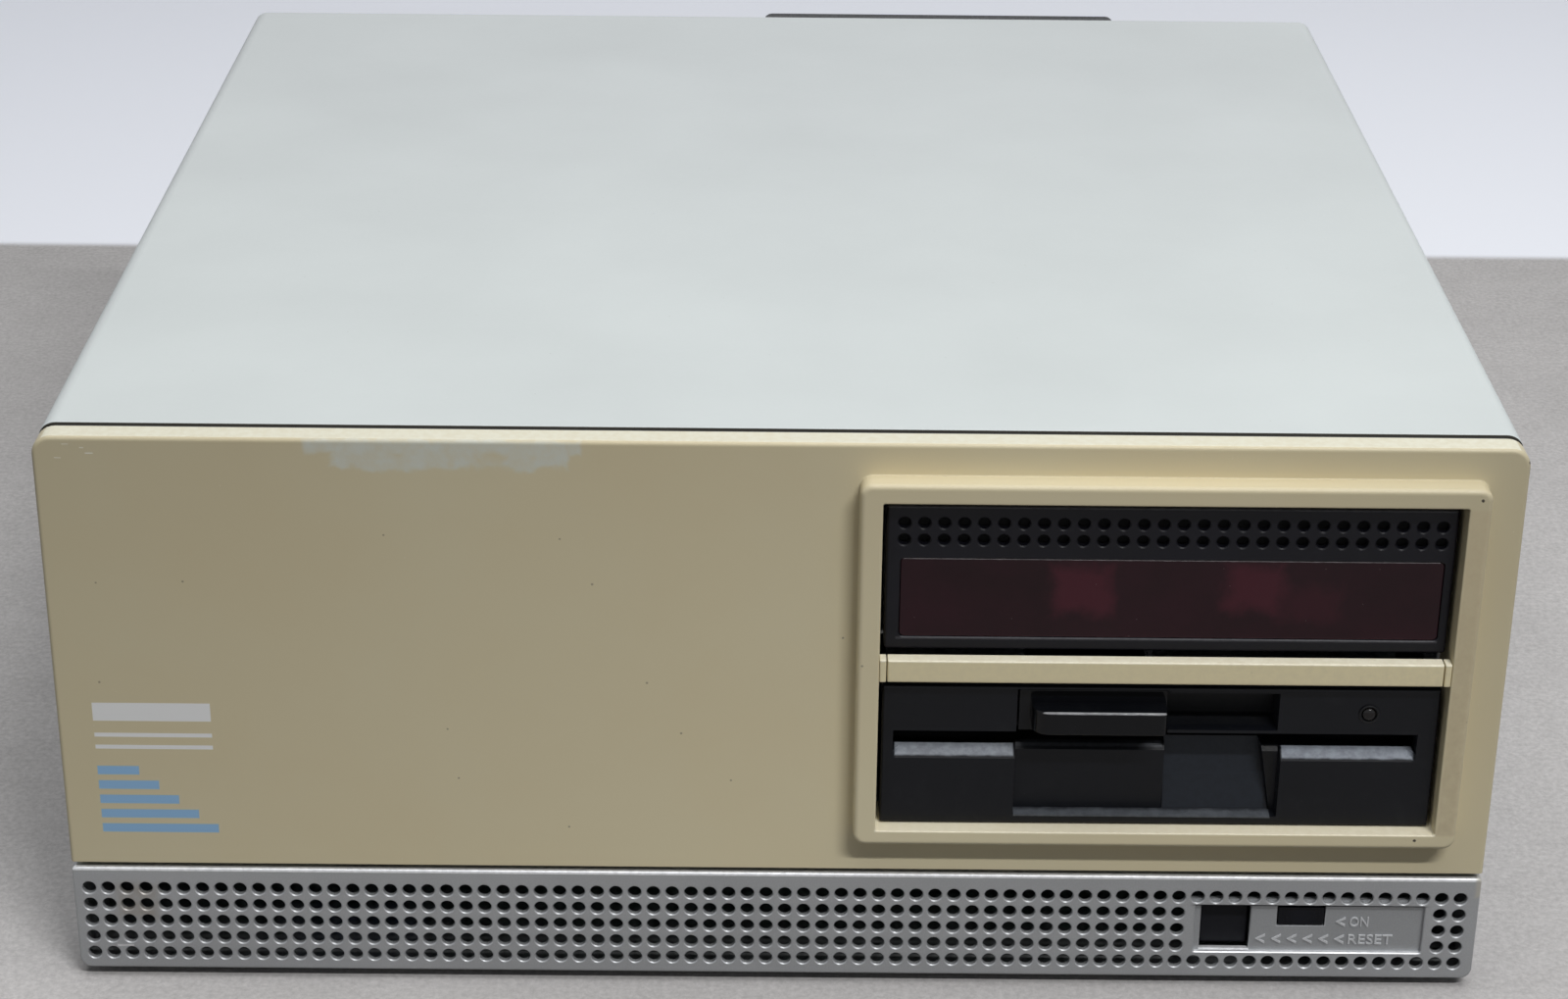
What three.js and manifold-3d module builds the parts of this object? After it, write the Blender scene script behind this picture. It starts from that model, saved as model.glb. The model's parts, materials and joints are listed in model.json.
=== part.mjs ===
// A desktop computer of the 1980s: cover, bezel, two drives, power supply, boards and case.
// Millimetres, +Z up. The front faces -Y, and the origin is on the ground under the middle of the box.
import * as THREE from 'three';
import { mergeVertices } from 'three/addons/utils/BufferGeometryUtils.js';
import Module from 'manifold-3d';

const wasm = await Module();
wasm.setup();

// Clearances
const gap = 0.3; // between pieces that touch
const sideGap = 0.5; // between the cover and what it slides over
const overrun = 1; // how far a cut runs past the face that it starts from
const cornerSteps = 4; // straight runs in a rounded corner
const mergeWithin = 1e-3; // points nearer than this are one

// Overall sizes
const width = 380;
const grilleHeight = 31;
const footHeight = 2.7;
const sheet = 1.2; // thickness of every folded steel part
const board = 1.6; // thickness of every circuit board

// Front bezel
const bezelDepth = 8.2;
const bezelWall = 2.6;
const bezelCorner = 8;
const bezelFoot = 3.2; // radius of its bottom corners
const bezelEdge = 2.4; // rounding round its front face
const bezelHead = 9.2; // from the surround's top to the bezel's
const surroundSide = 10; // from the computer's right side to the surround
const surroundRise = 8.9; // from the bezel's bottom to the surround's
const surroundProud = 7;
const surroundCorner = 4;
const surroundEdge = 2;
const surroundWall = 5.8; // width of its two uprights
const surroundFoot = 7.4;
const surroundHead = 5;
const collarWall = 2;
const collarDepth = 7.1;
const bossRadius = 4;
const bossSide = 20; // from the computer's left side to the first fixing boss
const bossPitch = 140;

// Drive bays
const driveWidth = 146;
const driveHeight = 41;
const baySide = 1.2; // between a drive and the side of the opening
const bayFoot = 0.5;
const bayHead = 2.5;
const cageFront = 10;
const cageShort = 4.5; // how far the cage ends before the longer drive
const cageSide = 0.6; // between a drive and the cage's wall
const cageHead = 3.6; // room above the upper drive
const cageFoot = 9;
const dividerHeight = 5.5;
const dividerDepth = 6.2;
const dividerDrop = 1; // from the upper drive down to the divider
const dividerFoot = 3.9; // from the lower drive up to the divider
const dividerEdge = 0.8;

// Floppy drive
const floppyProud = 2;
const floppyBezelDepth = 5;
const floppyBodyDepth = 194.7;
const slotLeftWall = 3;
const slotRightWall = 5;
const slotRise = 22.3;
const slotHeight = 4.7;
const slotBevel = 3.6;
const slotBevelDepth = 1.8;
const recessLeft = 37.7;
const recessRight = 32.5;
const recessFloor = 4.4;
const recessDepth = 3.5;
const latchWellRight = 2.1; // right end of the latch's well
const latchWellHead = 0.7; // from the well's top to the drive's
const scoopRight = 31;
const pocketDepth = 6;
const pocketWall = 1.5;
const fingerWellFloor = 28.6;
const fingerWellHead = 1.4;
const lampSide = 18.4; // from the drive's right side
const lampDrop = 7.1; // from the drive's top
const lampRadius = 1.8;
const lampLength = 6;
const latchHead = 0.2; // between the latch and the top of its well
const latchPlate = 2.2;
const latchInset = 0.3; // how far the latch's plate stands behind the drive's face
const latchRise = 27.4;
const latchSide = 0.5;
const paddleReach = 9; // how far the paddle stands before the computer's face
const paddleHeight = 8.5;
const paddleDrop = 2; // from the top of the latch's plate to the paddle's
const paddleSlope = 3; // how much the paddle's top falls towards the front
const paddleCorner = 4;
const paddleLeft = 34;
const paddleRight = 1;
const frameWall = 1.5;
const frameSideDrop = 3.4; // from the drive's top to the frame's sides
const frameFloor = 2;
const frameFloorRise = 7.6;
const frameBackHeight = 20;
const floppyBoardRise = 0.6;
const floppyBoardSide = 3;
const floppyBoardRear = 6;
const standoffRadius = 2.4;
const spindleBack = 75; // from the computer's face to the spindle
const spindleRadius = 4;
const hubRadius = 14;
const hubCup = 12;
const hubCupFloor = 8;
const hubCupDepth = 3;
const hubHeight = 5.9;
const flywheelRadius = 26;
const flywheelHeight = 3.8;
const flywheelRise = 3.2;
const bearingWall = 5;
const bearingHeight = 5.6;
const runningGap = 0.4;
const leverPivotRear = 48; // from the frame's back
const leverPivotRise = 26.6;
const leverPinRadius = 2.5;
const leverPinLength = 11;
const leverRise = 35.8;
const leverThickness = 2.8;
const leverBarWidth = 32;
const leverHeadWidth = 50;
const leverHeadLength = 42;
const leverInset = 6; // from the drive's side to the lever's ears
const leverCross = 12;
const leverSide = 8;
const leverEar = 5; // from the pivot to the end of each ear
const coneTop = 11;
const coneTip = 7;
const coneHeight = 7.9;
const coneStem = 2;
const railRadius = 2;
const railAcross = 12;
const railRise = 14.6;
const railLength = 71;
const railRear = 4;
const lugLength = 5;
const lugHalfWidth = 16;
const carriageRear = 18; // from the carriage to the frame's back, with the heads parked
const carriageLength = 30;
const carriageHalfWidth = 15;
const carriageRise = 11.1;
const carriageHeight = 8.5;
const carriageWing = 9;
const headReach = 24; // from the carriage's front to the tip of its arms
const headHalfWidth = 10;
const headColumn = 15;
const lowerArmRise = 17.6;
const lowerArmHeight = 4.4;
const upperArmRise = 27.6;
const upperArmHeight = 2.8;
const pulleyRadius = 6.5;
const pulleyWidth = 6.5;
const pulleyShaft = 2;
const pulleyShaftReach = 9;
const motorRear = 42;
const motorRadius = 13.2;
const motorLength = 26;
const motorFlange = 1.5;

// Hard disk
const diskProud = 1;
const diskBezelDepth = 5.5;
const diskCorner = 1;
const diskBodyDepth = 199.7;
const windowLeftWall = 3.8;
const windowRightWall = 3.2;
const windowFloor = 3.5;
const windowHead = 14.8;
const windowThickness = 2.2;
const windowInset = 0.4;
const windowLedge = 2;
const windowCorner = 1.2;
const ventSide = 4; // least from the drive's side to a hole's middle
const ventPitch = 5.1;
const ventRadius = 1.65;
const ventDrop = 9.6; // from the drive's top to the lower row
const ventRowPitch = 4.7;
const castingWall = 6;
const castingFloor = 3.4;
const castingRise = 4.8;
const castingHead = 3.8; // from the casting's top to the drive's
const castingRail = 6;
const lidThickness = 1.5;
const lidBoss = 1.2;
const lidInset = 1;
const diskBoardRise = 1.2;
const platterSide = 2; // between the platters and the chamber's sides
const platterThickness = 1.9;
const platterPitch = 8;
const platterHubRadius = 20;
const platterHubHeight = 19.7;
const platterRise = 5.7; // from the hub's foot to the lower platter
const platterBack = 78;
const armSide = 23; // from the drive's right side to the arm's pivot
const armRear = 36.5;
const armTipGap = 3; // from the tip, swung right in, to the platters' hub
const armHubRadius = 9;
const armHubHeight = 21;
const armRoot = 8; // half the width of each arm at its hub
const armTip = 2.5;
const armThickness = 1.5;
const armTail = 18;
const armParkTurn = THREE.MathUtils.degToRad(8);
const indicatorWidth = 90;
const indicatorHeight = 12;
const indicatorRise = 9;
const indicatorBack = 3.5;
const indicatorLamp = 2.4;
const indicatorLampReach = 1.2;

// Perforated grille
const grilleThickness = 1.6;
const grilleReturn = 7.7; // depth of the grille's rim
const grilleCorner = 3;
const grilleTopCorner = 1;
const holeSide = 4.5; // least from the grille's end to a hole's middle
const holeHead = 4.6; // least from the grille's top to a hole's middle
const holeWeb = 0.8; // least metal between a hole and the switch panel
const holePitch = 5.08;
const holeRowPitch = 5.2;
const holeRise = 4.8; // from the grille's bottom to its lowest row
const holeRadius = 1.75;
const panelSide = 14.5; // from the switch panel to the grille's right end
const panelWidth = 62.2;
const panelRise = 8;
const panelHeight = 14.8;
const panelInset = 1;
const buttonHoleLeft = 1.8; // from the panel's left end
const buttonHoleWidth = 13.5;
const buttonHoleFloor = 1.5;
const buttonHoleHeight = 12.6;
const lensLeft = 22.5;
const lensWidth = 13.1;
const lensFloor = 7.7;
const lensHeight = 6.1;
const lensDepth = 8;
const lensInset = 0.4;

// Reset button
const buttonSide = 0.8;
const buttonInset = 4.5;
const buttonLength = 5;
const buttonStem = 2.2;
const buttonStemLength = 12;
const springRadius = 3.6;
const springWire = 0.5;
const springLength = 5.4;
const springTurns = 4;
const switchLength = 14;
const switchWidth = 12;
const switchFoot = 6.8; // from the button's middle down to the switch's underside

// Base pan and feet
const panInset = 0.4;
const footRadius = 9;
const footSide = 25;
const footFront = 30;
const footRear = 27.7;
const ventSlots = 8;
const ventSlotPitch = 18;
const ventSlotLength = 60;
const ventSlotWidth = 5;
const ventSlotAcross = 66;
const ventSlotFront = 110;

// Chassis deck and rear panel
const deckInset = 1; // how far the deck stays inside the cover's outer face
const deckSeam = 0.4;
const deckSideHeight = 13;
const deckFrontHeight = 11;
const busHoleSide = 2;
const rearInset = 4.8;
const rearPanelSide = 0.8;
const rearPanelHead = 0.5;
const ledgeDepth = 4.2;
const ledgeDrop = 4.8;

// Expansion slots
const mostSlots = 7;
const slotPitch = 20.32;
const slotSide = 20; // from the computer's left side to the first slot
const slotRoom = 25; // least from the bus board to the power supply and the drives
const bracketWidth = 18.4;
const bracketFoot = 4.5; // from the deck to the bracket's lower end
const bracketEar = 6.6;
const slotWindowWidth = 13.5;
const slotWindowFloor = 9.8;
const slotWindowHead = 5;
const busBoardRise = 3;
const busBoardRear = 26.5;
const busBoardLength = 109;
const busBoardMargin = 11;
const connectorWidth = 8;
const connectorLength = 85;
const connectorHeight = 11;
const connectorFront = 9; // from the bus board's front edge
const connectorGroove = 2.4;
const connectorGrooveDepth = 6;
const busHeaderLength = 80;
const busHeaderDepth = 8;
const busHeaderFront = 50;
const cardHead = 10.5; // between the cards and the cover
const cardTab = 5.4;
const cardShoulder = 2;
const longCard = 300;
const shortCard = 190;
const chipHeight = 3;
const chipLength = 24;
const chipWidth = 8;
const chipPitch = 32;
const chipRowPitch = 20;
const cardChipRows = 3;
const headerReach = 7;
const headerLength = 12;

// Boards under the deck
const mainDrop = 3.4; // from the deck down to the main board
const mainSide = 8; // from the pan's wall to the main board
const mainFront = 24;
const mainRear = 5;
const mainChipRows = 4;
const mainChipColumns = 5;
const mainChipSide = 44.4; // from the board's side to the chips
const mainChipRowPitch = 56;
const portHeight = 11;
const portDepth = 16;
const portReach = 4.5; // how far a port stands out of the pan's rear wall
const portSide = 1;
const portWidths = [16, 38, 38, 56];
const portSpace = 14;
const portFirst = 40; // from the computer's left side
const batteryRadius = 6;
const batteryLength = 42;
const batterySide = 70;
const batteryBack = 60;
const speakerRadius = 28;
const speakerHeight = 16;
const speakerMagnet = 14;
const speakerRim = 4;
const speakerDishShare = 0.7; // of its height, up to the bottom of the cone
const speakerSide = 100;
const speakerBack = 48;

// Power supply
const supplyWidth = 184;
const supplyDepth = 142;
const supplyHead = 12.8; // between the supply's case and the cover
const supplySide = 5;
const supplyRoom = 24.7; // from the longer drive to the power supply
const supplySkirt = 12;
const supplyVents = 9;
const supplyVentPitch = 16;
const supplyVentWidth = 6;
const supplyVentHeight = 60;
const supplyVentRise = 26;
const supplyBoardRise = 4;
const supplyBoardSide = 7;
const supplyBoardRear = 8.5; // between the board and the fan
const transformerWidth = 44;
const transformerDepth = 38;
const transformerHeight = 42;
const capacitorRadius = 11;
const capacitorHeight = 38;
const smallCanShare = 0.7; // of the large cans' radius
const heatsinkThickness = 3;
const heatsinkHeight = 55;
const heatsinkLength = 70;
const heatsinkFront = 9; // from the board's front edge to the first sink
const heatsinkPitch = 27;
const fanSize = 80;
const fanDepth = 25;
const fanBore = 37.8;
const fanHub = 18;
const fanTip = 36.4;
const fanBlades = 7;
const fanBladeThickness = 1.6;
const fanBladeTurn = THREE.MathUtils.degToRad(38);
const fanMotor = 19;
const fanPlate = 3;
const fanSpoke = 4;
const fanLift = 4; // how far the fan's centre is above the supply's middle
const hoodPast = 8; // how far the hood reaches past the supply's left side
const hoodInletSide = 15; // between the hood and the inlet
const hoodDepth = 16;
const hoodHeight = 106;
const hoodWall = 2;
const hoodDrop = 0.8; // from the underside of the cover to the hood's top
const hoodSlots = 7;
const hoodSlotHeight = 6;
const hoodSlotPitch = 14;
const hoodSlotSide = 9;
const hoodCorner = 3;
const inletSide = 32; // from the supply's right side to the inlet's middle
const inletWidth = 30;
const inletHeight = 54;
const inletHead = 2; // from the inlet to the top of the supply's case
const inletFlange = 1.6;
const inletFlangeSide = 3;
const inletBodyDepth = 20;
const socketWidth = 24;
const socketHeight = 16;
const socketDepth = 16;
const socketRise = 5;
const pinWidth = 2;
const pinHeight = 4;
const pinLength = 11;
const pinPitch = 7;
const pinStagger = 2;
const rockerWidth = 15;
const rockerHeight = 20;
const rockerRise = 39; // from the inlet's bottom to the rocker's pivot
const rockerThickness = 4.5;
const rockerDip = 1.5;
const rockerBelly = 5;
const rockerPivotDepth = 4;
const rockerWell = 10;
const rockerSide = 0.6;
const rockerEnd = 1.6;
const rockerTilt = THREE.MathUtils.degToRad(7);
const outletHeight = 24;
const outletDrop = 34; // from the inlet's bottom to the outlet's
const outletHoleDepth = 12;

// Flat leads
const ribbonThickness = 1.3;
const ribbonRoom = 13.5; // from the longer drive to the leads' middle
const ribbonBend = 9;
const ribbonPlug = 5;
const ribbonPlugLength = 6;
const diskRibbonWidth = 27;
const diskRibbonRise = 7;
const diskRibbonAcross = -22;
const floppyRibbonWidth = 30;
const floppyRibbonRise = 4;
const floppyRibbonAcross = -46;

// Cover
const coverCorner = 10;

// Heights
const grilleBottom = footHeight + gap;
const grilleTop = grilleBottom + grilleHeight;
const deckTop = grilleTop + sheet;
const bezelBottom = deckTop + deckSeam;
const surroundFloor = bezelBottom + surroundRise;
const openingFloor = surroundFloor + surroundFoot;
const floppyBottom = openingFloor + bayFoot;
const diskBottom = floppyBottom + driveHeight + dividerFoot + dividerHeight + dividerDrop;
const openingTop = diskBottom + driveHeight + bayHead;
const surroundTop = openingTop + surroundHead;
const bezelTop = surroundTop + bezelHead;
const coverInside = bezelTop - sheet;
const supplyBottom = deckTop + gap;
const supplyTop = coverInside - supplyHead;
const fanHeight = (supplyBottom + supplyTop) / 2 + fanLift;
const inletFloor = supplyTop - inletHead - inletHeight;
const outletFloor = inletFloor - outletDrop;
const mainTop = grilleTop - mainDrop;
const mainBottom = mainTop - board;
const busBottom = deckTop + busBoardRise;
const busTop = busBottom + board;
const cardBottom = busTop + connectorHeight + cardShoulder;
const cardTop = coverInside - cardHead;

// Depths, measured back from the bezel's front face
const coverFront = bezelDepth + gap;
const floppyFront = floppyBezelDepth - floppyProud + gap;
const floppyBack = floppyFront + floppyBodyDepth;
const diskFront = diskBezelDepth - diskProud + gap;
const diskBack = diskFront + diskBodyDepth;
const drivesBack = Math.max(floppyBack, diskBack);
const ribbonBack = drivesBack + ribbonRoom;
const supplyFront = drivesBack + supplyRoom;
const supplyBack = supplyFront + supplyDepth;
const fanBack = supplyBack - sheet - gap;
const fanFront = fanBack - fanDepth;
const rearPanelFront = supplyBack + gap;
const rearPanelBack = rearPanelFront + sheet;
const coverBack = rearPanelBack + rearInset;
const hoodFront = rearPanelBack + gap;
const machineBack = hoodFront + hoodDepth;
const bracketBack = rearPanelFront - gap;
const cardBack = bracketBack - sheet - gap;
const busBoardFront = rearPanelFront - busBoardRear - busBoardLength;
const faceY = (paddleReach - machineBack) / 2;

// Places across, from the middle
const surroundWidth = driveWidth + 2 * (baySide + surroundWall);
const bayCentre = width / 2 - surroundSide - surroundWidth / 2;
const openingLeft = bayCentre - driveWidth / 2 - baySide;
const openingRight = bayCentre + driveWidth / 2 + baySide;
const cageHalf = driveWidth / 2 + cageSide + sheet;
const supplyRight = width / 2 - supplySide;
const supplyLeft = supplyRight - supplyWidth;
const inletCentre = supplyRight - inletSide;
const hoodLeft = supplyLeft - hoodPast;
const hoodRight = inletCentre - inletWidth / 2 - inletFlangeSide - hoodInletSide;
const hoodCentre = (hoodLeft + hoodRight) / 2;
const panelRight = width / 2 - panelSide;
const panelLeft = panelRight - panelWidth;
const firstSlot = slotSide - width / 2;
const slotsEnd = Math.min(supplyLeft, bayCentre - cageHalf - cageFoot) - slotRoom - busBoardMargin;
const slotCount = Math.min(mostSlots, Math.floor((slotsEnd - firstSlot) / slotPitch) + 1);

// Finishes
const finish = (color, roughness, metalness = 0) =>
  new THREE.MeshStandardMaterial({ color, roughness, metalness });
const coverPaint = finish(0xcdd4cd, 0.6);
const bezelPlastic = finish(0xb9ae8c, 0.55);
const grilleMetal = finish(0x9aa0a6, 0.45, 0.6);
const steel = finish(0xa9adb0, 0.4, 0.9);
const blackPlastic = finish(0x1f2022, 0.5);
const diskPlastic = finish(0x20232a, 0.45);
const glossBlack = finish(0x0c0c0d, 0.15);
const smokedRed = finish(0x5a0d10, 0.1);
const lampRed = finish(0x7a1c16, 0.3);
const rubber = finish(0x161616, 0.9);
const casting = finish(0x8f9396, 0.5, 0.8);
const mirrorMetal = finish(0xd6d8da, 0.12, 1);
const boardGreen = finish(0x2c5a3a, 0.55);
const leadGrey = finish(0x8d9098, 0.7);

// Solids from three.js geometry

function solid(geometry) {
  geometry.deleteAttribute('normal');
  geometry.deleteAttribute('uv');
  const merged = mergeVertices(geometry, mergeWithin);
  const vertProperties = new Float32Array(merged.attributes.position.array);
  const triVerts = new Uint32Array(merged.index.array);
  return new wasm.Manifold(new wasm.Mesh({ numProp: 3, vertProperties, triVerts }));
}

function join(...solids) {
  return solids.reduce((sum, next) => sum.add(next));
}

function cut(body, ...tools) {
  return tools.reduce((rest, tool) => rest.subtract(tool), body);
}

function block(left, right, front, back, floor, top) {
  const box = new THREE.BoxGeometry(right - left, back - front, top - floor);
  box.translate((left + right) / 2, (front + back) / 2, (floor + top) / 2);
  return solid(box);
}

// A flat shape in x and z, carried back along y.
function alongY(shape, front, back, bevel = 0) {
  const depth = back - front - 2 * bevel;
  const bevels = { bevelEnabled: bevel > 0, bevelSize: bevel, bevelThickness: bevel };
  const options = { depth, curveSegments: 5, bevelSegments: 2, bevelOffset: -bevel, ...bevels };
  const geometry = new THREE.ExtrudeGeometry(shape, options);
  geometry.rotateX(Math.PI / 2);
  geometry.translate(0, back - bevel, 0);
  return solid(geometry);
}

// A flat shape in y and z, carried along x.
function alongX(shape, left, right) {
  const options = { depth: right - left, curveSegments: 5, bevelEnabled: false };
  const geometry = new THREE.ExtrudeGeometry(shape, options);
  const turn = new THREE.Matrix4().makeBasis(
    new THREE.Vector3(0, 1, 0),
    new THREE.Vector3(0, 0, 1),
    new THREE.Vector3(1, 0, 0),
  );
  geometry.applyMatrix4(turn);
  geometry.translate(left, 0, 0);
  return solid(geometry);
}

// A flat shape in x and y, carried up along z.
function alongZ(shape, floor, top) {
  const options = { depth: top - floor, curveSegments: 5, bevelEnabled: false };
  const geometry = new THREE.ExtrudeGeometry(shape, options);
  geometry.translate(0, 0, floor);
  return solid(geometry);
}

function rodX(left, right, y, z, radius, sides = 12) {
  const rod = new THREE.CylinderGeometry(radius, radius, right - left, sides);
  rod.rotateZ(Math.PI / 2);
  rod.translate((left + right) / 2, y, z);
  return solid(rod);
}

function rodY(x, front, back, z, radius, sides = 12) {
  const rod = new THREE.CylinderGeometry(radius, radius, back - front, sides);
  rod.translate(x, (front + back) / 2, z);
  return solid(rod);
}

function rodZ(x, y, floor, top, radius, sides = 12) {
  const rod = new THREE.CylinderGeometry(radius, radius, top - floor, sides);
  rod.rotateX(Math.PI / 2);
  rod.translate(x, y, (floor + top) / 2);
  return solid(rod);
}

// A profile of [radius, height] pairs, from the foot up, turned round a vertical axis.
function turned(profile, x, y, sides) {
  const points = profile.map(([radius, height]) => new THREE.Vector2(radius, height));
  const geometry = new THREE.LatheGeometry(points, sides);
  geometry.rotateX(Math.PI / 2);
  geometry.translate(x, y, 0);
  return solid(geometry);
}

// The points of a rounded corner that turns left by a quarter, or the bare corner if its radius is zero.
function cornerPoints(centreX, centreY, radius, start) {
  if (radius <= 0) {
    return [new THREE.Vector2(centreX, centreY)];
  }
  return Array.from({ length: cornerSteps + 1 }, (_, i) => {
    const angle = start + (i * Math.PI) / (2 * cornerSteps);
    return new THREE.Vector2(centreX + radius * Math.cos(angle), centreY + radius * Math.sin(angle));
  });
}

function rectangle(left, right, floor, top, low = 0, high = low) {
  return new THREE.Shape([
    ...cornerPoints(left + low, floor + low, low, Math.PI),
    ...cornerPoints(right - low, floor + low, low, 1.5 * Math.PI),
    ...cornerPoints(right - high, top - high, high, 0),
    ...cornerPoints(left + high, top - high, high, Math.PI / 2),
  ]);
}

function polygon(points) {
  return new THREE.Shape(points.map(([x, y]) => new THREE.Vector2(x, y)));
}

function roundHole(x, y, radius, sides) {
  const corners = Array.from({ length: sides }, (_, i) => {
    const angle = (2 * Math.PI * i) / sides;
    return new THREE.Vector2(x + radius * Math.cos(angle), y + radius * Math.sin(angle));
  });
  return new THREE.Path(corners);
}

function piece(name, body, material) {
  const mesh = body.getMesh();
  const geometry = new THREE.BufferGeometry();
  geometry.setAttribute('position', new THREE.BufferAttribute(mesh.vertProperties, 3));
  geometry.setIndex(new THREE.BufferAttribute(mesh.triVerts, 1));
  const result = new THREE.Mesh(geometry, material);
  result.name = name;
  return result;
}

// Case

function topCover() {
  const half = width / 2;
  const inner = half - sheet;
  const turn = coverCorner - sheet;
  const outline = new THREE.Shape();
  outline.moveTo(half, bezelBottom);
  outline.lineTo(half, bezelTop - coverCorner);
  outline.absarc(half - coverCorner, bezelTop - coverCorner, coverCorner, 0, Math.PI / 2, false);
  outline.lineTo(coverCorner - half, bezelTop);
  outline.absarc(coverCorner - half, bezelTop - coverCorner, coverCorner, Math.PI / 2, Math.PI, false);
  outline.lineTo(-half, bezelBottom);
  outline.lineTo(-inner, bezelBottom);
  outline.lineTo(-inner, bezelTop - coverCorner);
  outline.absarc(coverCorner - half, bezelTop - coverCorner, turn, Math.PI, Math.PI / 2, true);
  outline.lineTo(half - coverCorner, coverInside);
  outline.absarc(half - coverCorner, bezelTop - coverCorner, turn, Math.PI / 2, 0, true);
  outline.lineTo(inner, bezelBottom);
  return alongY(outline, coverFront, coverBack);
}

// A rounded block whose front face alone is rounded off.
function frontRounded(left, right, floor, top, lowCorner, highCorner, edge, front, back) {
  const shape = rectangle(left, right, floor, top, lowCorner, highCorner);
  const whole = alongY(shape, front, back + edge + overrun, edge);
  const tail = block(left - overrun, right + overrun, back, back + edge + 2 * overrun,
    floor - overrun, top + overrun);
  return cut(whole, tail);
}

function frontBezel() {
  const half = width / 2;
  const lip = bezelWall;
  const shell = frontRounded(-half, half, bezelBottom, bezelTop, bezelFoot, bezelCorner,
    bezelEdge, 0, bezelDepth);
  const hollow = alongY(
    rectangle(lip - half, half - lip, bezelBottom + lip, bezelTop - lip, bezelFoot, bezelCorner - lip),
    bezelWall, bezelDepth + overrun);
  const surround = frontRounded(bayCentre - surroundWidth / 2, bayCentre + surroundWidth / 2,
    surroundFloor, surroundTop, surroundCorner, surroundCorner,
    surroundEdge, -surroundProud, bezelWall);
  const collar = block(openingLeft - collarWall, openingRight + collarWall,
    bezelWall - gap, bezelWall + collarDepth, openingFloor - collarWall, openingTop + collarWall);
  const opening = block(openingLeft, openingRight, -surroundProud - overrun,
    bezelWall + collarDepth + overrun, openingFloor, openingTop);
  const bossHeight = deckTop + deckFrontHeight / 2;
  const bosses = [0, 1].map((i) =>
    rodY(bossSide + i * bossPitch - half, bezelWall - gap, bezelDepth, bossHeight, bossRadius));
  return cut(join(cut(shell, hollow), surround, collar, ...bosses), opening);
}

function bayDivider() {
  const left = openingLeft + gap * 2;
  const right = openingRight - gap * 2;
  const top = diskBottom - dividerDrop;
  return frontRounded(left, right, top - dividerHeight, top, 0, 0, dividerEdge,
    -surroundProud, dividerDepth - surroundProud);
}

const panelFloor = grilleBottom + panelRise;
const panelTop = panelFloor + panelHeight;
const holeColumns = Math.floor((width - 2 * holeSide) / holePitch) + 1;
const holeRows = Math.floor((grilleHeight - holeRise - holeHead) / holeRowPitch) + 1;
const holeLeft = (-holePitch * (holeColumns - 1)) / 2;

// Whether a hole would meet the switch panel.
function inPanel(x, z) {
  const reach = holeRadius + holeWeb;
  const across = x + reach > panelLeft && x - reach < panelRight;
  return across && z + reach > panelFloor && z - reach < panelTop;
}

function frontGrille() {
  const half = width / 2;
  const face = rectangle(-half, half, grilleBottom, grilleTop, grilleCorner, grilleTopCorner);
  for (let row = 0; row < holeRows; row += 1) {
    const z = grilleBottom + holeRise + row * holeRowPitch;
    for (let column = 0; column < holeColumns; column += 1) {
      const x = holeLeft + column * holePitch;
      if (!inPanel(x, z)) {
        face.holes.push(roundHole(x, z, holeRadius, 6));
      }
    }
  }
  face.holes.push(new THREE.Path(rectangle(panelLeft, panelRight, panelFloor, panelTop).getPoints()));
  const plate = alongY(face, 0, grilleThickness);
  const rimShape = rectangle(-half, half, grilleBottom, grilleTop, grilleCorner, grilleTopCorner);
  const wall = grilleThickness;
  rimShape.holes.push(new THREE.Path(rectangle(wall - half, half - wall, grilleBottom + wall,
    grilleTop - wall, grilleCorner - wall, 0).getPoints()));
  const rim = alongY(rimShape, grilleThickness - gap, grilleReturn);
  const back = block(panelLeft - wall, panelRight + wall, panelInset, panelInset + wall,
    panelFloor - wall, panelTop + wall);
  const buttonLeft = panelLeft + buttonHoleLeft;
  const buttonFloor = panelFloor + buttonHoleFloor;
  const buttonHole = block(buttonLeft, buttonLeft + buttonHoleWidth, -overrun,
    grilleReturn, buttonFloor, buttonFloor + buttonHoleHeight);
  const lampLeft = panelLeft + lensLeft;
  const lampFloor = panelFloor + lensFloor;
  const lampHole = block(lampLeft, lampLeft + lensWidth, -overrun, grilleReturn,
    lampFloor, lampFloor + lensHeight);
  return cut(join(plate, rim, cut(back, panelWindow())), buttonHole, lampHole);
}

// What the switch panel leaves free in front of its recessed face.
function panelWindow() {
  return block(panelLeft, panelRight, -overrun, panelInset, panelFloor, panelTop);
}

function basePan() {
  const half = width / 2 - panInset;
  const front = grilleReturn + gap;
  const top = grilleTop - gap;
  const outer = block(-half, half, front, rearPanelBack, grilleBottom, top);
  const inner = block(sheet - half, half - sheet, front - overrun, rearPanelFront,
    grilleBottom + sheet, top + overrun);
  const slots = [];
  for (const side of [-1, 1]) {
    for (let i = 0; i < ventSlots; i += 1) {
      const y = ventSlotFront + i * ventSlotPitch;
      const middle = side * ventSlotAcross;
      slots.push(block(middle - ventSlotLength / 2, middle + ventSlotLength / 2, y,
        y + ventSlotWidth, grilleBottom - overrun, grilleBottom + sheet + overrun));
    }
  }
  const portHoles = portPlaces().map(([left, right]) =>
    block(left - portSide, right + portSide, rearPanelFront - overrun, rearPanelBack + overrun,
      mainBottom - portHeight - portSide, mainBottom + portSide));
  return cut(outer, inner, ...slots, ...portHoles);
}

function foot(x, y) {
  return rodZ(x, y, 0, footHeight, footRadius, 16);
}

const busLeft = firstSlot - busBoardMargin;
const busRight = firstSlot + (slotCount - 1) * slotPitch + busBoardMargin;
const busMiddle = (busLeft + busRight) / 2;

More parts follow.
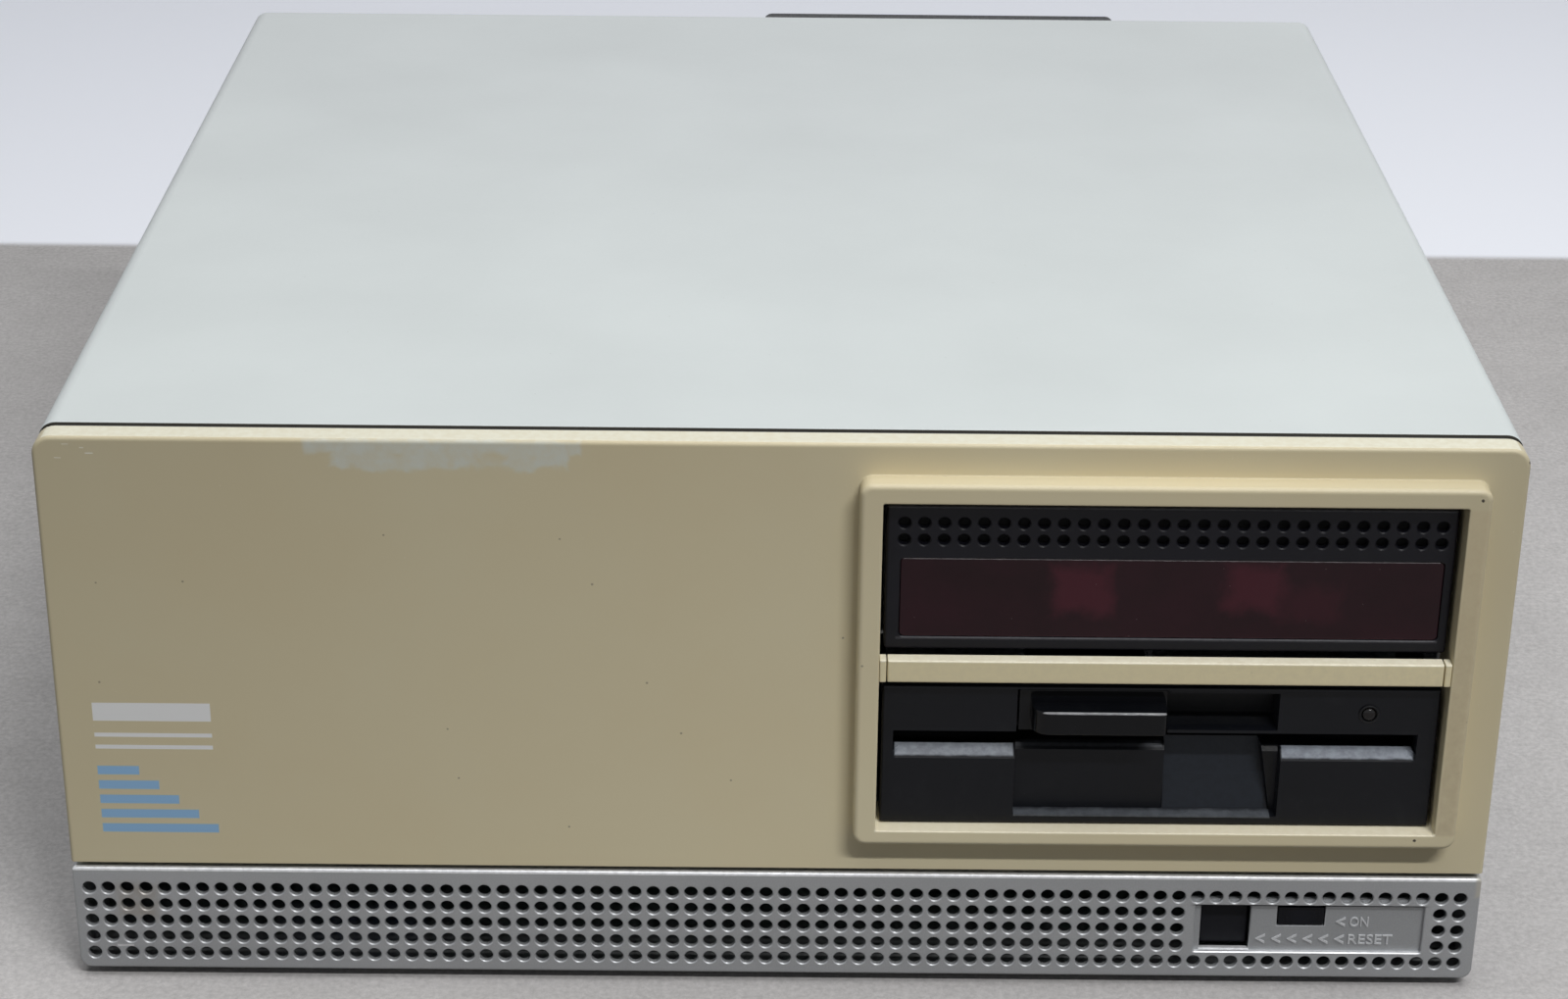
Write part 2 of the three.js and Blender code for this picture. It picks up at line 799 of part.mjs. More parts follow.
function chassisDeck() {
  const half = width / 2 - deckInset;
  const sideOut = width / 2 - sheet - sideGap;
  const front = coverFront;
  const plate = block(-half, half, front, rearPanelFront - gap, grilleTop, deckTop);
  const sides = [-1, 1].map((side) => {
    const outer = side * sideOut;
    const inner = side * (sideOut - sheet);
    return block(Math.min(outer, inner), Math.max(outer, inner), front, rearPanelFront - gap,
      deckTop - gap, deckTop + deckSideHeight);
  });
  const lip = block(-sideOut, sideOut, front, front + sheet, deckTop - gap, deckTop + deckFrontHeight);
  const hole = block(busMiddle - busHeaderLength / 2 - busHoleSide,
    busMiddle + busHeaderLength / 2 + busHoleSide,
    busBoardFront + busHeaderFront - busHoleSide,
    busBoardFront + busHeaderFront + busHeaderDepth + busHoleSide,
    grilleTop - overrun, deckTop + overrun);
  const posts = mainCorners().map(([x, y]) =>
    rodZ(x, y, mainTop + gap, grilleTop + sheet / 2, standoffRadius, 8));
  const busPosts = busCorners().map(([x, y]) =>
    rodZ(x, y, deckTop - sheet / 2, busBottom - gap, standoffRadius, 8));
  return cut(join(plate, ...sides, lip, ...posts, ...busPosts), hole);
}

function mainCorners() {
  const across = width / 2 - panInset - sheet - mainSide * 2;
  const rows = [mainFront + mainSide, rearPanelFront - mainRear - mainSide * 2];
  return rows.flatMap((y) => [[-across, y], [across, y]]);
}

function busCorners() {
  const inset = busBoardMargin / 2;
  const front = busBoardFront + inset / 2;
  const back = busBoardFront + busBoardLength - inset / 2;
  return [[busLeft + inset, front], [busRight - inset, front],
    [busLeft + inset, back], [busRight - inset, back]];
}

const slotMiddle = (index) => firstSlot + index * slotPitch;
const ledgeTop = coverInside - ledgeDrop;

function rearPanel() {
  const half = width / 2 - sheet - sideGap - rearPanelSide;
  const plate = alongY(rectangle(-half, half, deckTop + gap, coverInside - rearPanelHead, 0, coverCorner),
    rearPanelFront, rearPanelBack);
  const slotsLeft = slotMiddle(0) - slotPitch / 2;
  const slotsRight = slotMiddle(slotCount - 1) + slotPitch / 2;
  const head = block(slotsLeft, slotsRight, rearPanelFront - overrun, rearPanelBack + overrun,
    ledgeTop, coverInside + overrun);
  const ledge = block(slotsLeft, slotsRight, rearPanelBack - sheet / 2, rearPanelBack + ledgeDepth,
    ledgeTop - sheet, ledgeTop);
  const windows = Array.from({ length: slotCount }, (_, i) =>
    block(slotMiddle(i) - slotWindowWidth / 2, slotMiddle(i) + slotWindowWidth / 2,
      rearPanelFront - overrun, rearPanelBack + overrun,
      deckTop + slotWindowFloor, ledgeTop - slotWindowHead));
  const air = rodY(hoodCentre, rearPanelFront - overrun, rearPanelBack + overrun,
    fanHeight, fanBore, 24);
  const halfInlet = inletWidth / 2 + inletFlangeSide + gap;
  const inlet = block(inletCentre - halfInlet, inletCentre + halfInlet,
    rearPanelFront - overrun, rearPanelBack + overrun,
    outletFloor - inletFlangeSide - gap, inletFloor + inletHeight + inletFlangeSide + gap);
  return join(cut(plate, head, ...windows, air, inlet), ledge);
}

function fanHood() {
  const top = coverInside - hoodDrop;
  const floor = top - hoodHeight;
  const shape = rectangle(hoodLeft, hoodRight, floor, top, hoodCorner);
  const inside = rectangle(hoodLeft + hoodWall, hoodRight - hoodWall, floor + hoodWall, top - hoodWall,
    hoodCorner - hoodWall);
  const shell = cut(alongY(shape, hoodFront, machineBack),
    alongY(inside, hoodFront - overrun, machineBack - hoodWall));
  const middle = (floor + top) / 2;
  const slots = Array.from({ length: hoodSlots }, (_, i) => {
    const z = middle + (i - (hoodSlots - 1) / 2) * hoodSlotPitch;
    return block(hoodLeft + hoodSlotSide, hoodRight - hoodSlotSide, machineBack - hoodWall - overrun,
      machineBack + overrun, z - hoodSlotHeight / 2, z + hoodSlotHeight / 2);
  });
  return cut(shell, ...slots);
}

function driveCage() {
  const left = bayCentre - cageHalf;
  const right = bayCentre + cageHalf;
  const low = floppyBottom - gap;
  const shelf = diskBottom - gap;
  const top = diskBottom + driveHeight + cageHead;
  const back = drivesBack - cageShort;
  const shell = block(left, right, cageFront, back, deckTop + gap, top);
  const bay = (floor, ceiling) =>
    block(left + sheet, right - sheet, cageFront - overrun, back + overrun, floor, ceiling);
  const under = bay(deckTop + gap - overrun, low - sheet);
  const feet = block(left - cageFoot, right + cageFoot, cageFront, back, deckTop + gap,
    deckTop + gap + sheet);
  return cut(join(shell, feet), under, bay(low, shelf - sheet), bay(shelf, top - sheet));
}

// Floppy drive, with x from its middle, y from the bezel's face and z from its underside

const slotLeft = driveWidth / 2 - slotLeftWall;
const slotRight = driveWidth / 2 - slotRightWall;
const latchWellTop = driveHeight - latchWellHead;
const lampAcross = driveWidth / 2 - lampSide;
const lampRise = driveHeight - lampDrop;
const leverPivotBack = floppyBack - leverPivotRear;
const leverDepth = leverPivotBack + leverEar;
const railBack = floppyBack - railRear - railLength;
const carriageBack = floppyBack - carriageRear - carriageLength;
const motorBack = floppyBack - motorRear;
const floppyFrameFloor = frameFloorRise + frameFloor;

function floppyBezel() {
  const half = driveWidth / 2;
  const back = floppyBezelDepth - floppyProud;
  const front = -floppyProud;
  const plate = block(-half, half, front, back, 0, driveHeight);
  const pocket = block(0, recessRight + pocketWall, back - gap, back + pocketDepth,
    recessFloor - pocketWall, driveHeight);
  const slot = block(-slotLeft, slotRight, front - overrun, back + pocketDepth + overrun,
    slotRise, slotRise + slotHeight);
  const recess = block(-recessLeft, recessRight, front - overrun, front + recessDepth,
    recessFloor, slotRise + overrun);
  const well = block(-recessLeft, latchWellRight, front - overrun, front + recessDepth,
    slotRise, latchWellTop);
  const armWay = block(-recessLeft + latchSide * 2, 0, front, back + pocketDepth + overrun,
    slotRise, latchWellTop);
  const scoop = alongX(polygon([
    [front - overrun, recessFloor],
    [front + recessDepth, recessFloor],
    [back + pocketDepth - pocketWall, slotRise],
    [back + pocketDepth - pocketWall, slotRise + overrun],
    [front - overrun, slotRise + overrun],
  ]), latchWellRight, scoopRight);
  const fingerWell = block(latchWellRight - overrun, scoopRight, front - overrun,
    back + pocketDepth - pocketWall, fingerWellFloor, driveHeight - fingerWellHead);
  const bevel = polygon([
    [front - overrun, slotRise - slotBevel],
    [front, slotRise - slotBevel],
    [front + slotBevelDepth, slotRise],
    [front + slotBevelDepth, slotRise + overrun],
    [front - overrun, slotRise + overrun],
  ]);
  const bevels = [alongX(bevel, -slotLeft, -recessLeft), alongX(bevel, recessRight, slotRight)];
  const lampHole = rodY(lampAcross, front - overrun, back + overrun, lampRise, lampRadius + gap, 10);
  return cut(join(plate, pocket), slot, recess, well, armWay, scoop, fingerWell, ...bevels, lampHole);
}

function floppyLatch() {
  const plateFront = latchInset - floppyProud;
  const left = latchSide - recessLeft;
  const right = latchWellRight - latchSide;
  const plateTop = latchWellTop - latchHead;
  const plate = block(left, right, plateFront, plateFront + latchPlate, latchRise, plateTop);
  const top = plateTop - paddleDrop;
  const side = alongX(polygon([
    [plateFront + latchPlate / 2, top - paddleHeight],
    [plateFront + latchPlate / 2, top],
    [-paddleReach, top - paddleSlope],
    [-paddleReach, top - paddleHeight],
  ]), -paddleLeft, paddleRight);
  const plan = rectangle(-paddleLeft, paddleRight, -paddleReach, plateFront + latchPlate, paddleCorner, 0);
  const paddle = side.intersect(alongZ(plan, top - paddleHeight - overrun, top + overrun));
  return join(plate, paddle);
}

function clampArm() {
  const front = latchInset - floppyProud + latchPlate + gap;
  const barLeft = -paddleLeft;
  const barRight = leverBarWidth - paddleLeft;
  const headBack = spindleBack + leverHeadLength / 2;
  const crossBack = headBack + leverCross / 2;
  const half = driveWidth / 2 - leverInset;
  const plan = polygon([
    [barLeft, front],
    [barRight, front],
    [barRight, spindleBack - leverHeadLength / 2],
    [leverHeadWidth - paddleLeft, spindleBack - leverHeadLength / 2],
    [leverHeadWidth - paddleLeft, crossBack - leverCross],
    [half, crossBack - leverCross],
    [half, leverDepth],
    [half - leverSide, leverDepth],
    [half - leverSide, crossBack],
    [leverSide - half, crossBack],
    [leverSide - half, leverDepth],
    [-half, leverDepth],
    [-half, crossBack - leverCross],
    [barLeft, crossBack - leverCross],
  ]);
  const sheetPart = alongZ(plan, leverRise, leverRise + leverThickness);
  const hook = block(barLeft, barRight, front, front + leverThickness / 2,
    leverRise - leverThickness / 2, leverRise + leverThickness / 2);
  const ears = [-1, 1].map((side) => {
    const outer = side * half;
    const inner = side * (half - leverSide);
    return block(Math.min(outer, inner), Math.max(outer, inner), leverPivotBack - leverEar, leverDepth,
      leverPivotRise - leverEar, leverRise + leverThickness / 2);
  });
  const pinHole = rodX(-half - overrun, half + overrun, leverPivotBack, leverPivotRise,
    leverPinRadius + runningGap);
  const coneHole = rodZ(0, spindleBack, leverRise - overrun, leverRise + leverThickness + overrun,
    coneStem + runningGap);
  return cut(join(sheetPart, hook, ...ears), pinHole, coneHole);
}

function clampCone() {
  const top = leverRise - gap;
  const tip = top - coneHeight + gap;
  return turned([
    [0, tip],
    [coneTip, tip],
    [coneTop, tip + coneHeight / 2],
    [coneTop, top],
    [coneStem, top],
    [coneStem, leverRise + leverThickness],
    [0, leverRise + leverThickness],
  ], 0, spindleBack, 16);
}

function floppyFrame() {
  const half = driveWidth / 2;
  const front = floppyFront;
  const back = floppyBack;
  const floorFront = front + pocketDepth + gap;
  const walls = [-1, 1].map((side) => {
    const outer = side * half;
    const inner = side * (half - frameWall);
    return block(Math.min(outer, inner), Math.max(outer, inner), front, back, 0,
      driveHeight - frameSideDrop);
  });
  const floor = block(-half, half, floorFront, back, frameFloorRise, floppyFrameFloor);
  const rear = block(-half, half, back - frameWall, back, frameFloorRise, frameBackHeight);
  const bearingTop = floppyFrameFloor + bearingHeight;
  const bearing = rodZ(0, spindleBack, frameFloorRise, bearingTop, spindleRadius + bearingWall, 16);
  const shaftHole = rodZ(0, spindleBack, frameFloorRise - overrun, bearingTop + overrun,
    spindleRadius + runningGap, 16);
  const lugTop = railRise + railRadius + gap;
  const lug = (from) => block(-lugHalfWidth, lugHalfWidth, from, from + lugLength,
    floppyFrameFloor - gap, lugTop);
  const lugs = [lug(railBack), lug(railBack + railLength - lugLength)];
  const railHoles = [-1, 1].map((side) => rodY(side * railAcross, railBack - overrun,
    railBack + railLength + overrun, railRise, railRadius + gap));
  const pins = [-1, 1].map((side) => {
    const wallEnd = side * (half - frameWall / 2);
    const tip = side * (half - frameWall - leverPinLength);
    return rodX(Math.min(wallEnd, tip), Math.max(wallEnd, tip), leverPivotBack, leverPivotRise,
      leverPinRadius);
  });
  const posts = boardCorners().map(([x, y]) =>
    rodZ(x, y, floppyBoardRise + board + gap, frameFloorRise + frameFloor / 2, standoffRadius, 8));
  const body = join(...walls, floor, rear, bearing, ...lugs, ...pins, ...posts);
  return cut(body, shaftHole, ...railHoles);
}

function boardCorners() {
  const across = driveWidth / 2 - frameWall - floppyBoardSide * 2;
  const front = floppyBezelDepth + pocketDepth + floppyBoardSide * 2;
  return [front, floppyBack - floppyBoardRear - floppyBoardSide * 3]
    .flatMap((y) => [[-across, y], [across, y]]);
}

// Rows of chips on the upper side of a board that lies flat.
function chipsOn(left, right, front, back, surface, height, pitchX, pitchY) {
  const chips = [];
  const columns = Math.floor((right - left - chipLength) / pitchX) + 1;
  const rows = Math.floor((back - front - chipWidth) / pitchY) + 1;
  for (let column = 0; column < columns; column += 1) {
    for (let row = 0; row < rows; row += 1) {
      const x = left + column * pitchX;
      const y = front + row * pitchY;
      chips.push(block(x, x + chipLength, y, y + chipWidth,
        Math.min(surface, surface + height), Math.max(surface, surface + height)));
    }
  }
  return chips;
}

function floppyBoard() {
  const half = driveWidth / 2 - frameWall - floppyBoardSide;
  const front = floppyBezelDepth + pocketDepth + floppyBoardSide;
  const top = floppyBoardRise + board;
  const back = floppyBack - floppyBoardRear;
  const plate = block(-half, half, front, back, floppyBoardRise, top);
  const chipFront = spindleBack + flywheelRadius + floppyBoardSide;
  const chips = chipsOn(chipWidth - half, half - chipWidth, chipFront,
    back - chipWidth * 2, top - gap, chipHeight, chipPitch, chipRowPitch);
  return join(plate, ...chips);
}

function floppySpindle() {
  const hubFoot = floppyFrameFloor + bearingHeight + runningGap;
  const hubTop = hubFoot + hubHeight;
  return turned([
    [0, flywheelRise],
    [flywheelRadius, flywheelRise],
    [flywheelRadius, flywheelRise + flywheelHeight],
    [spindleRadius, flywheelRise + flywheelHeight],
    [spindleRadius, hubFoot],
    [hubRadius, hubFoot],
    [hubRadius, hubTop],
    [hubCup, hubTop],
    [hubCupFloor, hubTop - hubCupDepth],
    [0, hubTop - hubCupDepth],
  ], 0, spindleBack, 16);
}

function floppyLamp() {
  const front = -floppyProud - lampRadius / 2;
  return rodY(lampAcross, front, front + lampLength, lampRise, lampRadius, 10);
}

function headRail(side) {
  return rodY(side * railAcross, railBack, railBack + railLength, railRise, railRadius, 10);
}

function headCarriage() {
  const back = carriageBack + carriageLength;
  const top = carriageRise + carriageHeight;
  const base = block(-carriageHalfWidth, carriageHalfWidth, carriageBack, back, carriageRise, top);
  const wingTop = motorRise - pulleyRadius - gap;
  const wing = block(carriageHalfWidth - overrun, carriageHalfWidth + carriageWing, carriageBack, back,
    carriageRise, wingTop);
  const armFront = carriageBack - headReach;
  const lower = block(-headHalfWidth, headHalfWidth, armFront, back, lowerArmRise,
    lowerArmRise + lowerArmHeight);
  const upper = block(-headHalfWidth, headHalfWidth, armFront, back, upperArmRise,
    upperArmRise + upperArmHeight);
  const column = block(-headHalfWidth, headHalfWidth, back - headColumn, back, carriageRise,
    upperArmRise + upperArmHeight);
  const bores = [-1, 1].map((side) => rodY(side * railAcross, carriageBack - overrun, back + overrun,
    railRise, railRadius + gap, 10));
  return cut(join(base, wing, lower, upper, column), ...bores);
}

const motorRise = lowerArmRise + pulleyRadius;
const motorFace = carriageHalfWidth + carriageWing + gap * 2;

function headMotor() {
  const side = motorRise - floppyFrameFloor - gap;
  const flange = block(motorFace, motorFace + motorFlange, motorBack - side, motorBack + side,
    motorRise - side, motorRise + side);
  const can = rodX(motorFace + motorFlange / 2, motorFace + motorLength, motorBack, motorRise,
    motorRadius, 20);
  const bore = rodX(motorFace - overrun, motorFace + pulleyShaftReach + gap, motorBack, motorRise,
    pulleyShaft + runningGap, 8);
  return cut(join(flange, can), bore);
}

function headPulley() {
  const right = motorFace - gap;
  const wheel = rodX(right - pulleyWidth, right, motorBack, motorRise, pulleyRadius, 16);
  const shaft = rodX(right - pulleyWidth / 2, motorFace + pulleyShaftReach, motorBack, motorRise,
    pulleyShaft, 8);
  return join(wheel, shaft);
}

// Hard disk, with the same local places as the floppy drive

const castingFloorTop = castingRise + castingFloor;
const castingTop = driveHeight - castingHead;
const windowLeft = driveWidth / 2 - windowLeftWall;
const windowRight = driveWidth / 2 - windowRightWall;
const windowTop = driveHeight - windowHead;
const ventColumns = Math.floor((driveWidth - 2 * ventSide) / ventPitch) + 1;
const platterRadius = driveWidth / 2 - castingWall - platterSide;
const armAcross = driveWidth / 2 - armSide;
const armBack = diskBack - armRear;
const armLength = Math.hypot(armAcross, armBack - platterBack) - platterHubRadius - armTipGap;

function windowShape(slack) {
  return rectangle(-windowLeft - slack, windowRight + slack, windowFloor - slack,
    windowTop + slack, windowCorner);
}

function diskBezel() {
  const half = driveWidth / 2;
  const front = -diskProud;
  const back = diskBezelDepth - diskProud;
  const face = rectangle(-half, half, 0, driveHeight, diskCorner);
  const firstHole = (-ventPitch * (ventColumns - 1)) / 2;
  for (let column = 0; column < ventColumns; column += 1) {
    for (const row of [0, 1]) {
      const z = driveHeight - ventDrop + row * ventRowPitch;
      face.holes.push(roundHole(firstHole + column * ventPitch, z, ventRadius, 6));
    }
  }
  const plate = alongY(face, front, back);
  const seat = alongY(windowShape(gap), front - overrun, front + windowInset + windowThickness + gap);
  const light = block(windowLedge - windowLeft, windowRight - windowLedge, front, back + overrun,
    windowFloor + windowLedge, windowTop - windowLedge);
  return cut(plate, seat, light);
}

function diskWindow() {
  const front = windowInset - diskProud;
  return alongY(windowShape(0), front, front + windowThickness);
}

function indicatorBoard() {
  const left = -indicatorWidth / 2;
  const right = indicatorWidth / 2;
  const plate = block(left, right, indicatorBack, indicatorBack + board - gap, indicatorRise,
    indicatorRise + indicatorHeight);
  const middle = indicatorRise + indicatorHeight / 2;
  const lamps = [-1, 0, 1].map((place) => rodY((place * indicatorWidth) / 3,
    indicatorBack - indicatorLampReach, indicatorBack + gap, middle, indicatorLamp, 10));
  return join(plate, ...lamps);
}

function diskBase() {
  const half = driveWidth / 2;
  const body = block(-half, half, diskFront, diskBack, castingRise, castingTop);
  const rails = [-1, 1].map((side) => {
    const outer = side * half;
    const inner = side * (half - castingRail);
    return block(Math.min(outer, inner), Math.max(outer, inner), diskFront, diskBack, 0,
      castingRise + castingFloor / 2);
  });
  const chamber = block(castingWall - half, half - castingWall, diskFront + castingWall,
    diskBack - castingWall, castingFloorTop, castingTop + overrun);
  const posts = diskBoardCorners().map(([x, y]) =>
    rodZ(x, y, diskBoardRise + board + gap, castingRise + castingFloor / 2, standoffRadius, 8));
  return join(cut(body, chamber), ...rails, ...posts);
}

function diskBoardCorners() {
  const across = driveWidth / 2 - castingRail - standoffRadius * 2;
  const inset = castingWall + standoffRadius;
  return [diskFront + inset, diskBack - inset].flatMap((y) => [[-across, y], [across, y]]);
}

function diskLid() {
  const half = driveWidth / 2 - lidInset;
  const floor = castingTop + gap;
  const plate = block(-half, half, diskFront + lidInset, diskBack - lidInset, floor, floor + lidThickness);
  const raised = rodZ(0, platterBack, floor, floor + lidThickness + lidBoss, platterRadius, 24);
  return join(plate, raised);
}

function diskBoard() {
  const half = driveWidth / 2 - castingRail - gap * 2;
  const front = diskFront + castingWall / 2;
  const back = diskBack - castingWall / 2;
  const top = diskBoardRise + board;
  const plate = block(-half, half, front, back, diskBoardRise, top);
  const height = castingRise - top - gap * 2;
  const chips = chipsOn(chipLength - half, half - chipLength, front + chipLength,
    back - chipLength, top - gap, height + gap, chipPitch, chipRowPitch);
  return join(plate, ...chips);
}

function diskPlatters() {
  const foot = castingFloorTop + gap;
  const first = foot + platterRise;
  const second = first + platterPitch;
  return turned([
    [0, foot],
    [platterHubRadius, foot],
    [platterHubRadius, first],
    [platterRadius, first],
    [platterRadius, first + platterThickness],
    [platterHubRadius, first + platterThickness],
    [platterHubRadius, second],
    [platterRadius, second],
    [platterRadius, second + platterThickness],
    [platterHubRadius, second + platterThickness],
    [platterHubRadius, foot + platterHubHeight],
    [0, foot + platterHubHeight],
  ], 0, platterBack, 24);
}

function diskArm() {
  const foot = castingFloorTop + gap;
  const first = foot + platterRise;
  const middle = first + (platterPitch + platterThickness) / 2;
  const toCentre = Math.atan2(platterBack - armBack, -armAcross);
  const aim = toCentre + armParkTurn;
  const along = new THREE.Vector2(Math.cos(aim), Math.sin(aim));
  const across = new THREE.Vector2(-along.y, along.x);
  const place = (forward, sideways) => [
    armAcross + along.x * forward + across.x * sideways,
    armBack + along.y * forward + across.y * sideways,
  ];
  const plan = polygon([
    place(0, -armRoot),
    place(armLength, -armTip),
    place(armLength, armTip),
    place(0, armRoot),
  ]);
  const tail = polygon([
    place(0, -armRoot / 2),
    place(0, armRoot / 2),
    place(-armTail, armRoot),
    place(-armTail, -armRoot),
  ]);
  const hub = rodZ(armAcross, armBack, foot, foot + armHubHeight, armHubRadius, 16);
  const half = armThickness / 2;
  const levels = [middle - platterPitch, middle, middle + platterPitch];
  const arms = levels.map((z) => alongZ(plan, z - half, z + half));
  const coil = alongZ(tail, middle - platterPitch / 2, middle + platterPitch / 2);
  return join(hub, ...arms, coil);
}

// Power supply

const supplyBoardBack = fanFront - supplyBoardRear;

function supplyCase() {
  const outer = block(supplyLeft, supplyRight, supplyFront, supplyBack, supplyBottom, supplyTop);
  const inner = block(supplyLeft + sheet, supplyRight - sheet, supplyFront + sheet,
    supplyBack - sheet, supplyBottom + sheet, supplyTop + overrun);
  const middle = (supplyLeft + supplyRight) / 2;
  const vents = Array.from({ length: supplyVents }, (_, i) => {
    const x = middle + (i - (supplyVents - 1) / 2) * supplyVentPitch;
    return block(x - supplyVentWidth / 2, x + supplyVentWidth / 2, supplyFront - overrun,
      supplyFront + sheet + overrun, supplyBottom + supplyVentRise,
      supplyBottom + supplyVentRise + supplyVentHeight);
  });
  const air = rodY(hoodCentre, supplyBack - sheet - overrun, supplyBack + overrun, fanHeight, fanBore, 24);
  const hole = (floor, height) => block(inletCentre - inletWidth / 2 - gap,
    inletCentre + inletWidth / 2 + gap, supplyBack - sheet - overrun, supplyBack + overrun,
    floor - gap, floor + height + gap);
  const posts = supplyCorners().map(([x, y]) =>
    rodZ(x, y, supplyBottom + sheet / 2, supplyBottom + sheet + supplyBoardRise - gap, standoffRadius, 8));
  const shell = cut(outer, inner, ...vents, air, hole(inletFloor, inletHeight),
    hole(outletFloor, outletHeight));
  return join(shell, ...posts);
}

function supplyCorners() {
  const inset = supplyBoardSide + standoffRadius * 2;
  const rows = [supplyFront + inset, supplyBoardBack - standoffRadius * 2];
  return rows.flatMap((y) => [[supplyLeft + inset, y], [supplyRight - inset, y]]);
}

function supplyCover() {
  const floor = supplyTop + gap;
  const side = sheet + gap;
  const outer = block(supplyLeft - side, supplyRight + side, supplyFront - side, supplyBack,
    supplyTop - supplySkirt, floor + sheet);
  const inner = block(supplyLeft - gap, supplyRight + gap, supplyFront - gap, supplyBack + overrun,
    supplyTop - supplySkirt - overrun, floor);
  return cut(outer, inner);
}

function supplyBoard() {
  const left = supplyLeft + supplyBoardSide;
  const right = supplyRight - supplyBoardSide;
  const front = supplyFront + supplyBoardSide;
  const back = supplyBoardBack;
  const floor = supplyBottom + sheet + supplyBoardRise;
  const top = floor + board;
  const base = top - gap;
  const middle = (front + back) / 2;
  const plate = block(left, right, front, back, floor, top);
  const centre = (left + right) / 2;
  const transformer = block(centre - transformerWidth / 2, centre + transformerWidth / 2,
    middle - transformerDepth / 2, middle + transformerDepth / 2, base, top + transformerHeight);
  const cans = [0, 1].map((i) => rodZ(left + capacitorRadius * (2 + 3 * i), middle, base,
    top + capacitorHeight, capacitorRadius, 16));
  const smallCans = [0, 1, 2].map((i) => rodZ(right - capacitorRadius * (1.5 + 2 * i),
    back - capacitorRadius * 1.5, base, top + capacitorHeight / 2, capacitorRadius * smallCanShare, 12));
  const sinks = [0, 1].map((i) => {
    const y = front + heatsinkFront + i * heatsinkPitch;
    return block(right - heatsinkThickness - heatsinkLength / 2, right - heatsinkThickness, y,
      y + heatsinkThickness, base, top + heatsinkHeight);
  });
  return join(plate, transformer, ...cans, ...smallCans, ...sinks);
}

function fanFrame() {
  const half = fanSize / 2;
  const body = alongY(rectangle(hoodCentre - half, hoodCentre + half, fanHeight - half,
    fanHeight + half, half - fanBore), fanFront, fanBack);
  const bore = rodY(hoodCentre, fanFront - overrun, fanBack + overrun, fanHeight, fanBore, 24);
  const motor = rodY(hoodCentre, fanFront, fanFront + fanPlate, fanHeight, fanMotor, 20);
  const reach = fanBore + (half - fanBore) / 2;
  const spokes = [
    block(hoodCentre - reach, hoodCentre + reach, fanFront, fanFront + fanPlate,
      fanHeight - fanSpoke / 2, fanHeight + fanSpoke / 2),
    block(hoodCentre - fanSpoke / 2, hoodCentre + fanSpoke / 2, fanFront, fanFront + fanPlate,
      fanHeight - reach, fanHeight + reach),
  ];
  return join(cut(body, bore), motor, ...spokes);
}

function fanRotor() {
  const front = fanFront + fanPlate + gap;
  const back = fanBack - gap * 2;
  const hub = rodY(hoodCentre, front, back, fanHeight, fanHub, 20);
  const length = back - front - fanBladeThickness * 2;
  const blades = Array.from({ length: fanBlades }, (_, i) => {
    const blade = new THREE.BoxGeometry(fanTip - fanHub / 2, length, fanBladeThickness);
    blade.rotateX(fanBladeTurn);
    blade.translate((fanTip + fanHub / 2) / 2, 0, 0);
    blade.rotateY((2 * Math.PI * i) / fanBlades);
    blade.translate(hoodCentre, (front + back) / 2, fanHeight);
    return solid(blade);
  });
  return join(hub, ...blades);
}

const inletBack = supplyBack + gap + inletFlange;
const rockerY = inletBack - rockerPivotDepth;
const rockerZ = inletFloor + rockerRise;

function powerInlet() {
  const half = inletWidth / 2;
  const side = half + inletFlangeSide;
  const top = inletFloor + inletHeight;
  const flange = block(inletCentre - side, inletCentre + side, supplyBack + gap, inletBack,
    inletFloor - inletFlangeSide + gap, top + inletFlangeSide - gap);
  const body = block(inletCentre - half, inletCentre + half, inletBack - inletBodyDepth,
    inletBack - inletFlange / 2, inletFloor, top);
  const socketFloor = inletFloor + socketRise;
  const socket = block(inletCentre - socketWidth / 2, inletCentre + socketWidth / 2,
    inletBack - socketDepth, inletBack + overrun, socketFloor, socketFloor + socketHeight);
  const pinMiddle = socketFloor + socketHeight / 2;
  const pins = [-1, 0, 1].map((place) => {
    const x = inletCentre + place * pinPitch;
    const z = pinMiddle + (place === 0 ? pinStagger : -pinStagger);
    return block(x - pinWidth / 2, x + pinWidth / 2, inletBack - socketDepth - gap,
      inletBack - socketDepth + pinLength, z - pinHeight / 2, z + pinHeight / 2);
  });
  const wellHalf = rockerHeight / 2 + rockerEnd;
  const well = block(inletCentre - rockerWidth / 2 - rockerSide, inletCentre + rockerWidth / 2 + rockerSide,
    inletBack - rockerWell, inletBack + overrun, rockerZ - wellHalf, rockerZ + wellHalf);
  return join(cut(join(flange, body), socket, well), ...pins);
}

function powerRocker() {
  const half = rockerHeight / 2;
  const outline = new THREE.Shape();
  outline.moveTo(0, -half);
  outline.lineTo(rockerThickness, -half);
  outline.lineTo(rockerThickness - rockerDip, 0);
  outline.lineTo(rockerThickness, half);
  outline.lineTo(0, half);
  outline.absarc(0, 0, rockerBelly, Math.PI / 2, 1.5 * Math.PI, false);
  const rocker = alongX(outline, inletCentre - rockerWidth / 2, inletCentre + rockerWidth / 2);
  const degrees = THREE.MathUtils.radToDeg(rockerTilt);
  return rocker.rotate([-degrees, 0, 0]).translate([0, rockerY, rockerZ]);
}

